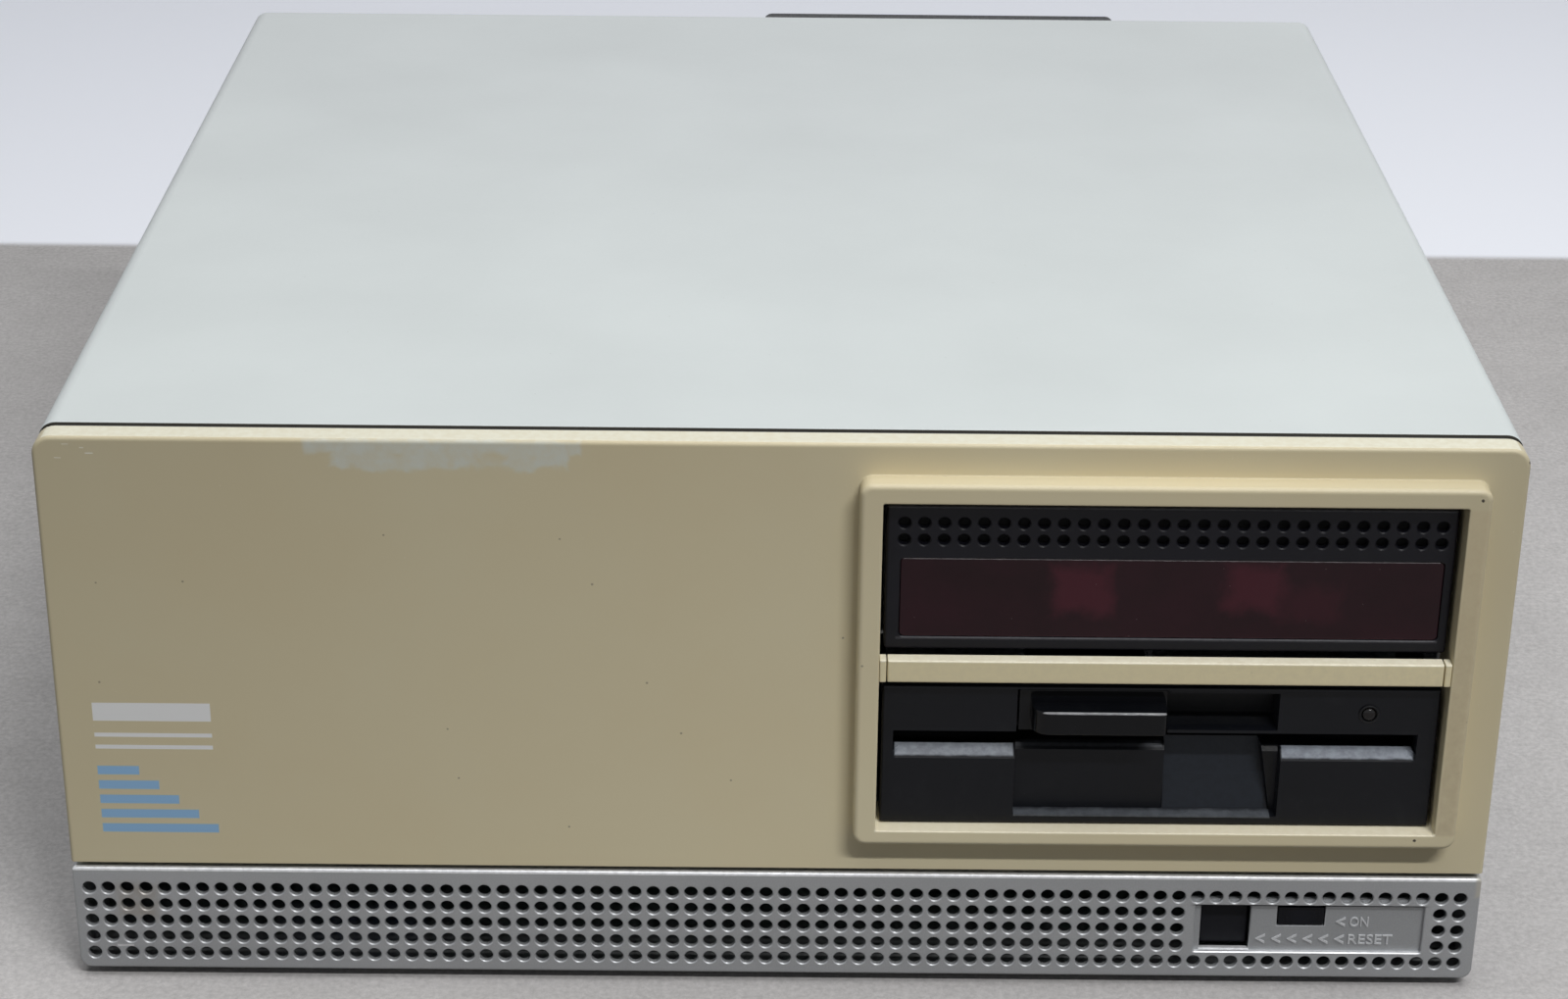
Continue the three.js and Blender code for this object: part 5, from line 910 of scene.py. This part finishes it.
marks = {"rise": 0.42, "sunk": 0.2, "cap": 3.0, "letters": 1.42, "word": 155.6, "onLine": 20.3,
         "resetLine": 14.7, "arrow": 2.6, "strokeUp": 0.65, "strokeIn": 0.85, "arrows": 6,
         "firstArrow": 130.3, "arrowPitch": 4.3, "onArrow": 151.8, "wide": {"ON": 5.1, "RESET": 12.0}}


# An open arrow head that points left: its outer edge runs from the tip to both ends, and its inner
# edge comes back one stroke further in.
def arrowOutline(s, x, z):
    end, tall, inner = x + s["arrow"], s["cap"] / 2, s["cap"] / 2 - s["strokeUp"]
    return np.array([(x, z), (end, z - tall), (end, z - inner), (x + s["strokeIn"], z),
                     (end, z + inner), (end, z + tall)])


# A word in Blender's own letters, stood upright with its face towards the front.
def raisedWord(s, word, x, z):
    letters = bpy.data.curves.new(word, "FONT")
    letters.body = word
    letters.size = s["cap"] * s["letters"]
    letters.extrude = (s["rise"] + s["sunk"]) / 2
    letters.align_y = "CENTER"
    letters.resolution_u = 3
    flat = linked(word, letters)
    mesh = bpy.data.meshes.new_from_object(flat)
    bpy.data.objects.remove(flat)
    points = meshPoints(mesh)
    depth = panel["front"] - (s["rise"] - s["sunk"]) / 2
    middle = (points[:, 1].min() + points[:, 1].max()) / 2
    points[:, 0] -= points[:, 0].min()
    points[:, 0] *= s["wide"][word] / points[:, 0].max()
    stood = np.column_stack([x + points[:, 0], faceY + depth - points[:, 2], z + points[:, 1] - middle])
    return stood, [list(face.vertices) for face in mesh.polygons]


def makeMarks(s):
    spots = [(s["onArrow"], s["onLine"])]
    spots += [(s["firstArrow"] + s["arrowPitch"] * i, s["resetLine"]) for i in range(s["arrows"])]
    depths = [panel["front"] - s["rise"], panel["front"] + s["sunk"]]
    parts = [joinLoops([arrowOutline(s, x, z)] * 2, depths, closed=False, caps=True) for x, z in spots]
    parts += [raisedWord(s, "ON", s["word"], s["onLine"]), raisedWord(s, "RESET", s["word"], s["resetLine"])]
    return makePiece("switchMarks", *merged(*parts))


seat(makeMarks(marks), "chassis", looks["mark_silver"], "grille_metal")
print("grille made")

# Hard disk front.

disk = {
    "outer": (27, 173, 103.8, 144.8), "corners": (1,) * 4, "front": -1.0, "back": 4.5, "plate": 2.2,
    "edge": 0.6, "pitch": (5.1, 4.7), "columns": 28, "rows": 2, "left": 31.55, "low": 135.2, "radius": 1.6,
    "bevel": 0.33, "window": (30.7, 170.7, 107.3, 130.0), "windowCorners": (1.2,) * 4, "below": 1.2,
    "soft": 0.25, "ledge": 2.0, "seat": 2.6, "wall": 1.5, "frame": (0.4, 1.0),
}


# The holed band with its rim, and under it the window's frame: softened sides down to a ledge for the
# window, then round the ledge to the back of the plate.
def makeDiskBezel(s):
    front, soft, ledge, (out, behind) = s["front"], s["soft"], s["ledge"], s["frame"]
    plate, sunk = front + s["plate"], front + s["seat"]
    _, _, centres, (x0, x1, z0, z1) = lattice(s)
    cells = holedCells(centres.reshape(-1, 2), s, front, plate)
    floor = s["window"][2] - s["below"]
    wide = cellShares(s["columns"])
    tall = np.append(0, (z0 - floor + (z1 - z0) * cellShares(s["rows"])) / (z1 - floor))
    sides = (wide, tall, wide, 1 - tall[::-1])
    rim = plateRim((x0, x1, floor, z1), s, front, s["back"], s["wall"], plate, 4, sides)
    marks = (wide, [0, 1]) * 2
    below = roundedLoop((x0, x1, floor, z0), sharpCorners, 4, marks)
    steps = [(-soft, front), (0, front + soft), (0, sunk), (ledge, sunk), (ledge, plate + behind),
             (-out, plate + behind), (-out, plate)]
    loops = [roundedLoop(s["window"], s["windowCorners"], 4, marks, inset) for inset, _ in steps]
    sill = joinLoops([below, *loops, below], [front, *(depth for _, depth in steps), plate], closed=False)
    return makePiece("diskBezel", *merged(cells, rim, sill))


seat(makeDiskBezel(disk), "chassis", looks["disk_plastic"], "disk_plastic", "disk_bezel")
foam = {"box": (29.5, 171.3, 132.6, 142.6), "depths": (3.0, 4.2), "corner": 1, "edge": 0.3, "arc": 2}
seatBlock("diskFoam", foam, "chassis", looks["rubber"], "black_plastic")
glass = {"box": (30.85, 170.55, 107.45, 129.85), "depths": (-0.6, 1.6), "corner": 1.1, "edge": 0.25, "arc": 4}
seatBlock("diskWindow", glass, "chassis", looks["smoked_window"], "smoked_window", "disk_window")
print("disk front made")

# Floppy drive front.

floppy = {
    "outer": (27, 173, 52.4, 93.4), "front": -2.0, "back": 9.0, "edge": 0.6, "step": 0.35,
    "slot": (30, 168, 74.2, 80.1), "recess": (62.3, 132.5, 54.9, 74.2), "recessDepth": 1.5,
    "well": (62.3, 102.1, 74.2, 92.7), "arm": (63.3, 100.0, 80.1, 92.7), "scoop": (102.1, 131.0, 54.9, 74.2),
    "scoopDepth": 7.5, "finger": (101.1, 131.0, 81.0, 92.0), "bevelFoot": 71.9, "bevelDepth": 1.2,
    "bevelEnd": 1.9, "ridge": 1.3, "ridgeDepth": 1.43, "slant": 3.2, "pocket": (98.0, 134.0, 55.0),
    "plate": 3.0, "wall": 1.2, "edgeLines": (0.08, 0.25), "overSlot": 0.3,
}


# Front relief as a depth for each x and z: the flat face, less a quarter-round edge, the recess, the
# sloping scoop (its depth grows evenly with height), the latch's well and the bevels under the slot.
def makeFloppyBezel(s):
    step, edge, front, ridge = (s[key] for key in ("step", "edge", "front", "ridge"))
    (x0, x1, z0, z1), (left, right, low, high) = s["outer"], s["slot"]
    ends = np.linspace(0, s["bevelEnd"], 5)
    xs, zs = [*(left + ends), *(right - ends)], [s["bevelFoot"], high + s["overSlot"], low - ridge]
    for lines, near, far in ((xs, x0, x1), (zs, z0, z1)):
        for along in (0, *s["edgeLines"], edge):
            lines += [near + along, far - along]
    for key in ("slot", "recess", "well", "arm", "scoop", "finger"):
        soft = 0 if key == "slot" else step
        for lines, (near, far) in ((xs, s[key][:2]), (zs, s[key][2:])):
            lines += [near, near + soft, far - soft, far]
    xs, zs = np.unique(np.round(xs, 4)), np.unique(np.round(zs, 4))
    across, up = np.meshgrid(xs, zs)

    # How far a point is inside a box, from 0 at its edge to 1 one step in, with at most one open side.
    def within(key, openSide=None):
        a, b, c, d = s[key]
        share = np.ones(across.shape)
        for side, line in {"left": across - a, "right": b - across, "foot": up - c, "top": d - up}.items():
            share = np.minimum(share, line >= -hair if side == openSide else np.clip(line / step, 0, 1))
        return share

    nearest = np.minimum(np.minimum(across - x0, x1 - across), np.minimum(up - z0, z1 - up))
    depth = front + edge - np.sqrt(edge ** 2 - np.clip(edge - nearest, 0, edge) ** 2)
    underSlot = up <= low + hair
    share = np.minimum((up - s["bevelFoot"]) / (low - s["bevelFoot"]),
                       np.minimum(across - left, right - across) / s["bevelEnd"])
    slope = front + np.clip(share, 0, 1) * (s["bevelDepth"] - front)
    depth = np.where((share > 0) & underSlot, np.maximum(depth, slope), depth)
    inRecess = within("recess", "top")
    for inside in (inRecess, within("well", "foot")):
        depth += (s["recessDepth"] - depth) * inside
    depth += np.clip((up - low + ridge) / ridge, 0, 1) * underSlot * s["ridgeDepth"] * inRecess
    rise = (up - s["scoop"][2]) / (s["scoop"][3] - s["scoop"][2])
    grown = s["recessDepth"] + np.clip(rise, 0, 1) * (s["scoopDepth"] - s["recessDepth"])
    depth += (grown - depth) * within("scoop", "top")
    depth += (s["scoopDepth"] - depth) * within("finger")
    keep = ~(cellsIn(s["slot"], xs, zs) | cellsIn(s["arm"], xs, zs))
    near, far, foot = s["pocket"]
    back = np.where((across >= near) & (across <= far) & (up > foot), s["back"], s["plate"])
    # the scoop's right side leans inwards as it rises
    lean = s["slant"] * np.clip(rise, 0, 1) * underSlot * (np.abs(across - s["scoop"][1] + step / 2) < step)
    back = np.maximum(back, depth + s["wall"])
    return makePiece("floppyBezel", *gridPlate(across - lean, up, depth, back, keep))


seat(makeFloppyBezel(floppy), "chassis", looks["floppy_front"], "black_plastic", "floppy_bezel")

latch = {"left": 66.0, "right": 101.0, "low": 82.8, "top": 90.8, "front": -9.0, "back": 0.4, "fall": 1.3,
         "corner": 4.5, "endCorner": 1.2, "edge": 0.5, "pinch": 0.06}


# The paddle: a rounded wedge in y and z carried along x, whose front draws back by a quarter circle
# at the left end and a small one at the right.
def makePaddle(s):
    left, right, low, top, front, back = (s[key] for key in ("left", "right", "low", "top", "front", "back"))
    corner, end, edge, turns = s["corner"], s["endCorner"], s["edge"], quarter(4)
    # points of the wedge, from the back's foot round the front and back over the top
    arcLow = np.stack([front + edge * (1 - np.cos(turns)), low + edge * (1 - np.sin(turns))], 1)[::-1]
    arcTop = np.stack([front + edge * (1 - np.cos(turns)), top - s["fall"] - edge * (1 - np.sin(turns))], 1)
    profile = np.concatenate([[[back, low]], arcLow, arcTop, [[back, top]]])
    flat = np.linspace(left + corner + 1, right - end - 1, 6)
    start, stop = left + corner * (1 - np.cos(quarter(8))), right - end * (1 - np.sin(quarter(5)))
    span = np.unique(np.round(np.concatenate([start, flat, stop]), 4))[:, None]

    def drawn(radius, inside):
        return radius - np.sqrt(np.maximum(radius ** 2 - np.clip(radius - inside, 0, None) ** 2, 0))

    draw = drawn(corner, span - left) + drawn(end, right - span)
    y = faceY + back + (profile[:, 0] - back) * (1 - draw / (back - front))
    middle = (low + top) / 2
    z = middle + (profile[:, 1] - middle) * (1 - s["pinch"] * (draw / corner) ** 2)
    points = np.stack([np.broadcast_to(span, y.shape), y, z], -1).reshape(-1, 3)
    return makePiece("latchPaddle", points, list(gridQuads(*y.shape)) + endFaces(*y.shape), 50)


seat(makePaddle(latch), "floppy_lever", looks["gloss_black"], "gloss_black")
latchPlate = {"box": (62.8, 101.6, 80.4, 92.5), "depths": (-1.7, 0.5), "corner": 0.4, "edge": 0.3, "arc": 2}
seatBlock("latchPlate", latchPlate, "floppy_lever", looks["gloss_black"], "gloss_black", "floppy_latch")

lamp = {
    "x": 154.6, "z": 86.3, "colour": (0.004, 0.003, 0.003), "glow": 1.9,
    "ring": [(2.7, -1.5), (2.7, -2.1), (2.6, -2.4), (2.4, -2.5), (2.15, -2.45), (2.0, -2.25), (2.0, 1.0),
             (1.2, 1.0)],
    "lens": [(1.9, 1.0), (1.9, -2.0), (1.75, -2.5), (1.3, -2.85), (0.7, -3.0), (0.2, -3.05)],
}
ring = turnedAlongY("lampRing", lamp["ring"], lamp["x"], lamp["z"])
seat(ring, "chassis", looks["black_plastic"], "black_plastic")
lens = turnedAlongY("lampLens", lamp["lens"], lamp["x"], lamp["z"])
lampLook = lensLook(lamp["colour"], (lamp["x"], faceY, lamp["z"]), lamp["glow"])
seat(lens, "chassis", finish("floppy lamp", lampLook, Specular_IOR_Level=0.3), "lamp_lens", "floppy_lamp")
print("floppy front made")

# Button and lamp behind the panel.

capBlack = darkLook((0.009, 0.0095, 0.0125), 0.1, 1.0)
capLook = finish("button cap", capBlack, Specular_IOR_Level=0.12)
cap = {"box": (115.3, 128.4, 11.5, 24.9), "depths": (4.0, 9.5), "corner": 1, "edge": 0.6, "arc": 4}
seatBlock("buttonCap", cap, "button", capLook, "black_plastic")
powerBlack = lensLook((0.003, 0.0035, 0.006), (142.3, faceY, 21.7), 5.0)
powerLook = finish("power lamp", powerBlack, Specular_IOR_Level=0.16)
pane = {"box": (136.1, 148.6, 19.0, 24.5), "depths": (1.4, 9.0), "corner": 0.4, "edge": 0.25, "arc": 3}
seatBlock("powerLens", pane, "chassis", powerLook, "lamp_lens", "power_lamp")

# Rear ports and screws.

ports = {
    "keys": (-150, -134), "shells": ((-120, -82), (-68, -30), (-16, 40)), "floor": 18.0, "top": 29.2,
    "face": 377.2, "side": 7.0, "margin": 1.7, "reach": 1.3, "wall": 0.9, "sunk": 0.3, "proud": 0.12,
    "pin": 2.77, "dot": 0.55, "blur": 0.12,
    "keyPort": ((4.8, -0.3), (4.8, 1.0), (4.5, 1.3), (3.9, 1.3), (3.8, 0.3)),
    "keyPortFace": ((3.75, 0.2), (3.75, 0.7)),
    "shell": {"corners": (2.4, 2.4, 1.4, 1.4), "edge": 0.1, "arc": 5, "backEdge": 0.35},
    "inside": {"corners": (1.8, 1.8, 0.9, 0.9), "edge": 0.1, "arc": 4, "backEdge": 0.1},
}
portLevel = (ports["floor"] + ports["top"]) / 2


# Dark socket faces: two rows of round holes at the pin pitch, the second row set over by half.
def pinLook(g, place):
    x, _, z = g.split(place)
    up = g.math("SUBTRACT", z, portLevel)
    over = g.times(g.math("GREATER_THAN", up, 0.0), 0.5)
    cell = g.math("FRACT", g.math("ADD", g.math("DIVIDE", x, ports["pin"]), over))
    aside = g.times(g.math("SUBTRACT", cell, 0.5), ports["pin"])
    reach = g.reach(aside, g.math("SUBTRACT", g.math("ABSOLUTE", up), ports["pin"] / 2))
    hole = g.between(reach, ports["dot"], ports["dot"] + ports["blur"], 1.0, 0.0)
    colour = g.mix(hole, (0.022, 0.023, 0.026), (0.30, 0.24, 0.12))
    return g.surface(colour, g.noise(place, 1.1, 3.0, 0.5), 0.4, 0.55)


def makePorts(s):
    pins = finish("port pins", pinLook, Specular_IOR_Level=0.3)
    face, end, wall = s["face"], s["face"] + s["reach"], s["wall"]
    for i, (left, right) in enumerate(s["shells"], 1):
        x0, x1, z0, z1 = left + s["side"], right - s["side"], s["floor"] + s["margin"], s["top"] - s["margin"]
        shell = {**s["shell"], "box": (x0, x1, z0, z1), "depths": (face - s["sunk"], end)}
        box = (x0 + wall, x1 - wall, z0 + wall, z1 - wall)
        inside = {**s["inside"], "box": box, "depths": (face, end + s["proud"])}
        seatBlock(f"portShell_{i}", shell, "chassis", looks["steel_sheet"], "circuit_board")
        seatBlock(f"portFace_{i}", inside, "chassis", pins, "circuit_board")
    for name, look in (("keyPort", looks["steel_sheet"]), ("keyPortFace", pins)):
        profile = [(radius, face + depth) for radius, depth in s[name]]
        seat(turnedAlongY(name, profile, sum(s["keys"]) / 2, portLevel), "chassis", look, "circuit_board")


makePorts(ports)

# washer: radius and height; head: share of its width and height over its top
screw = {"washer": ((2.5, 0.0), (2.5, 0.3), (2.35, 0.45)),
         "head": ((1, -0.2), (0.9, 0), (0.45, 0), (0.4, -0.35)), "across": 4.0, "height": 1.3,
         "panel": 182.75, "bracket": 0.85, "behind": 0.6, "above": 0.05,
         "post": 0.8, "postDepth": 187.25, "postIn": 3.4}


# Screws with a washer and a six-sided head, which stand up or face the rear. The head's radius at an
# angle is half its width across flats over the cosine of the angle from the nearest flat.
def hexScrews(name, places, upward=False, size=1.0):
    turn, ring = circle(24)
    ring = ring * size
    top = screw["height"] * size
    flat = ring * (screw["across"] / 2 / np.cos((turn + np.pi / 6) % (np.pi / 3) - np.pi / 6))[:, None]
    rows = [(ring * radius, high) for radius, high in screw["washer"]]
    rows.append((flat, rows[-1][1]))
    rows += [(flat * share, top + high) for share, high in screw["head"]]
    local = atDepths([row for row, _ in rows], [high for _, high in rows], 0.0)
    if upward:
        local = local[:, [0, 2, 1]]
    piece = makePiece(name, *stamped(local, len(ring), places, True), 30)
    seat(piece, "chassis", looks["machined_steel"], "steel_sheet")


corners = [(128, 52), (128, 151), (179, 52), (179, 151), (-181, 90), (-180, 12), (60, 12), (180, 12)]
hexScrews("rearScrews", [(x, screw["panel"], z) for x, z in corners])
boxes = np.array([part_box(f"slot_bracket_{i}") for i in range(1, 8)]) / mm
ears = boxes.mean(1) + (0, screw["behind"], 0)
ears[:, 2] = boxes[:, 1, 2] + screw["above"]
hexScrews("bracketScrews", ears, True, screw["bracket"])
sides = [x for left, right in ports["shells"] for x in (left + screw["postIn"], right - screw["postIn"])]
hexScrews("portPosts", [(x, screw["postDepth"], portLevel) for x in sides], False, screw["post"])
print("ports and screws made")

# The spring behind the button: a coil whose centre goes round its line at an even pitch.
spring = {"radius": 3.6, "wire": 0.5, "turns": 4, "steps": 96, "sides": 8, "travel": 2.0}


def makeSpring(s):
    low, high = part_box("reset_spring")
    x, z = (low[0] + high[0]) / 2 / mm, (low[2] + high[2]) / 2 / mm
    front, rear, wire = low[1] / mm, high[1] / mm, s["wire"]
    share = np.linspace(0, 1, s["steps"] + 1)[:, None]
    turn = 2 * np.pi * s["turns"] * share
    around = circle(s["sides"])[0]
    reach = s["radius"] + wire * np.cos(around)
    y = front + wire + (rear - front - 2 * wire) * share + wire * np.sin(around)
    points = np.stack([x + reach * np.cos(turn), y, z + reach * np.sin(turn)], -1).reshape(-1, 3)
    coil = makePiece("resetCoil", points, list(gridQuads(*y.shape)) + endFaces(*y.shape), 50)
    seat(coil, "chassis", looks["machined_steel"], "machined_steel", "reset_spring")
    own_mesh(coil)


makeSpring(spring)
print("spring made")

# The CAD pieces that show their own shape.

slots = {row["node"]: row["material_slot"] for row in frame["record"]["subparts"]}
softNodes = {
    "rear_panel": 0.25, "fan_hood": 0.6, "base_pan": 0.3, "chassis_deck": 0.3, "supply_case": 0.3,
    "supply_cover": 0.3, "drive_cage": 0.3, "power_inlet": 0.4, "power_outlet": 0.3, "power_rocker": 0.5,
    "fan_frame": 0.4, "disk_lid": 0.4, "disk_base": 0.5, "speaker": 0.3, "reset_button": 0.3,
    "foot_1": 0.5, "foot_2": 0.5, "foot_3": 0.5, "foot_4": 0.5, "clamp_arm": 0.4, "head_carriage": 0.3,
}
for name, node in nodes.items():
    if name in remade:
        continue
    slot = slots[name]
    look = looks["drive_casting"] if name in ("clamp_arm", "floppy_frame") else looks.get(slot)
    if name.startswith("slot_bracket"):
        softened(name, looks["steel_sheet"], slot, 0.3)
    elif name in softNodes:
        softened(name, look, slot, softNodes[name])
    elif look is not None:
        wear(node, look)
print("inner pieces dressed")

# Boards.

# A board's faces are the level that most of its points share and the one its thickness away.
boards = ("main_board", "bus_board", "supply_board", "floppy_board", "disk_board", "indicator_board",
          "card_1", "card_2")
for name in boards:
    points = meshPoints(nodes[name].data) / mm
    axis = int(np.argmin(np.ptp(points, 0)))
    levels, counts = np.unique(np.round(points[:, axis], 1), return_counts=True)
    level = levels[np.argmax(counts)]
    pair = [other for other in levels if abs(abs(other - level) - board["thickness"]) < board["slack"]]
    low, high = sorted((level, pair[0] if pair else level + board["thickness"]))
    wear(nodes[name], finish(name.replace("_", " "), boardLook(axis, low, high)))
    print(name, axis, low, high)

# Stage, light and camera.

stage = {"reach": 4000.0, "edge": 380.0, "blend": 4.0, "floor": (0.52, 0.505, 0.50),
         "wall": (0.94, 0.955, 0.985), "bounce": (0.10, 0.098, 0.096), "lift": (0.105, 0.116, 0.15)}


# A sheet of cloudy grey with fine grit, with painted light that makes its left side paler at the front and a
# little darker at the back, that is paler beyond its edge as the camera sees it and darker in the light it
# throws back.
def floorLook(g, place):
    across, depth, _ = g.split(place)
    base, edge, blend = stage["floor"], stage["edge"], stage["blend"]
    fine = g.noise(place, 0.12, 4.0, 0.6)
    colour = g.mix(g.between(g.noise(place, 0.012, 5.0, 0.6), 0.35, 0.65), base, [c * 1.08 for c in base])
    colour = g.mix(g.between(fine, 0.4, 0.7, 0.0, 0.3), colour, [c * 0.9 for c in base])
    grit = g.between(g.noise(place, 0.55, 4.0, 0.75), 0.35, 0.65, 0.86, 1.12, False)
    paintedPool = g.times(g.between(across, -320, 0, 1.0, 0.0), g.between(depth, -200, 200, 0.21, -0.05, False))
    colour = g.toned(colour, g.times(grit, g.math("ADD", 1.0, paintedPool)))
    beyond = g.between(depth, edge - blend, edge + blend)
    bounce = g.add("LightPath").outputs["Is Diffuse Ray"]
    colour = g.mix(bounce, g.mix(beyond, colour, stage["wall"]), stage["bounce"])
    made = g.surface(colour, fine, 0.7, 0.9)
    lift = g.times(beyond, g.math("SUBTRACT", 1.0, bounce))
    made["Emission Color"] = g.mix(lift, (0, 0, 0), stage["lift"])
    return made


r = stage["reach"]
floor = makePiece("floor", [(-r, -r, 0), (r, -r, 0), (r, r, 0), (-r, r, 0)], [[0, 1, 2, 3]])
wear(floor, finish("floor", floorLook, Specular_IOR_Level=0.2, Emission_Strength=1.0))

lights = {
    "overhead": {"at": (0.1, -0.2, 1.7), "aim": (0.1, -0.08, 0.1), "size": 1.4, "tall": 1.4, "power": 15.8},
    "key": {"at": (0.72, -1.41, 1.745), "aim": (0.72, -0.19, 0.1), "size": 0.9, "tall": 0.08, "power": 24.0},
}
for name, s in lights.items():
    data = bpy.data.lights.new(name, "AREA")
    data.shape = "RECTANGLE"
    data.size = s["size"]
    data.size_y = s["tall"]
    data.energy = s["power"]
    away = Vector(s["at"]) - Vector(s["aim"])
    turned = away.to_track_quat("Z", "Y").to_matrix().to_4x4()
    linked(name, data).matrix_world = Matrix.Translation(s["at"]) @ turned

# A white room for the camera and for reflections, and a dim one for the light on the pieces.
world = bpy.data.worlds.new("studio")
scene.world = world
world.use_nodes = True
g = Graph(world.node_tree)
rays = g.add("LightPath").outputs
seen = g.math("MAXIMUM", rays["Is Camera Ray"], rays["Is Glossy Ray"])
seen = g.math("MAXIMUM", seen, rays["Is Transmission Ray"])
soft = g.add("Background", {"Color": (0.96, 0.98, 1.0), "Strength": 0.10}).outputs[0]
white = g.add("Background", {"Color": (0.90, 0.92, 0.95), "Strength": 0.9}).outputs[0]
room = g.add("MixShader", {0: seen, 1: soft, 2: white}).outputs[0]
g.put(world.node_tree.nodes["World Output"].inputs[0], room)

view = {"at": (-2.27, -925.47, 488.1), "pitch": 24.96, "yaw": 0.23, "roll": 0.615, "focal": 3251.23,
        "pixels": 1600, "sensor": 36}
pitch, yaw, roll = (math.radians(view[key]) for key in ("pitch", "yaw", "roll"))
ahead = np.array([math.sin(yaw) * math.cos(pitch), math.cos(yaw) * math.cos(pitch), -math.sin(pitch)])
right = np.array([math.cos(yaw), -math.sin(yaw), 0])
up = np.cross(right, ahead)
rolledRight = math.cos(roll) * right + math.sin(roll) * up
rolledUp = math.cos(roll) * up - math.sin(roll) * right
turn = np.column_stack([rolledRight, rolledUp, -ahead])
data = bpy.data.cameras.new("camera")
data.lens = view["sensor"] * view["focal"] / view["pixels"]
data.sensor_width = view["sensor"]
data.sensor_fit = "HORIZONTAL"
data.clip_start = 0.01
camera = linked("camera", data)
camera.matrix_world = Matrix.Translation([c * mm for c in view["at"]]) @ Matrix(turn.tolist()).to_4x4()
scene.camera = camera
scene.view_settings.view_transform = "Standard"

print("scene finished")
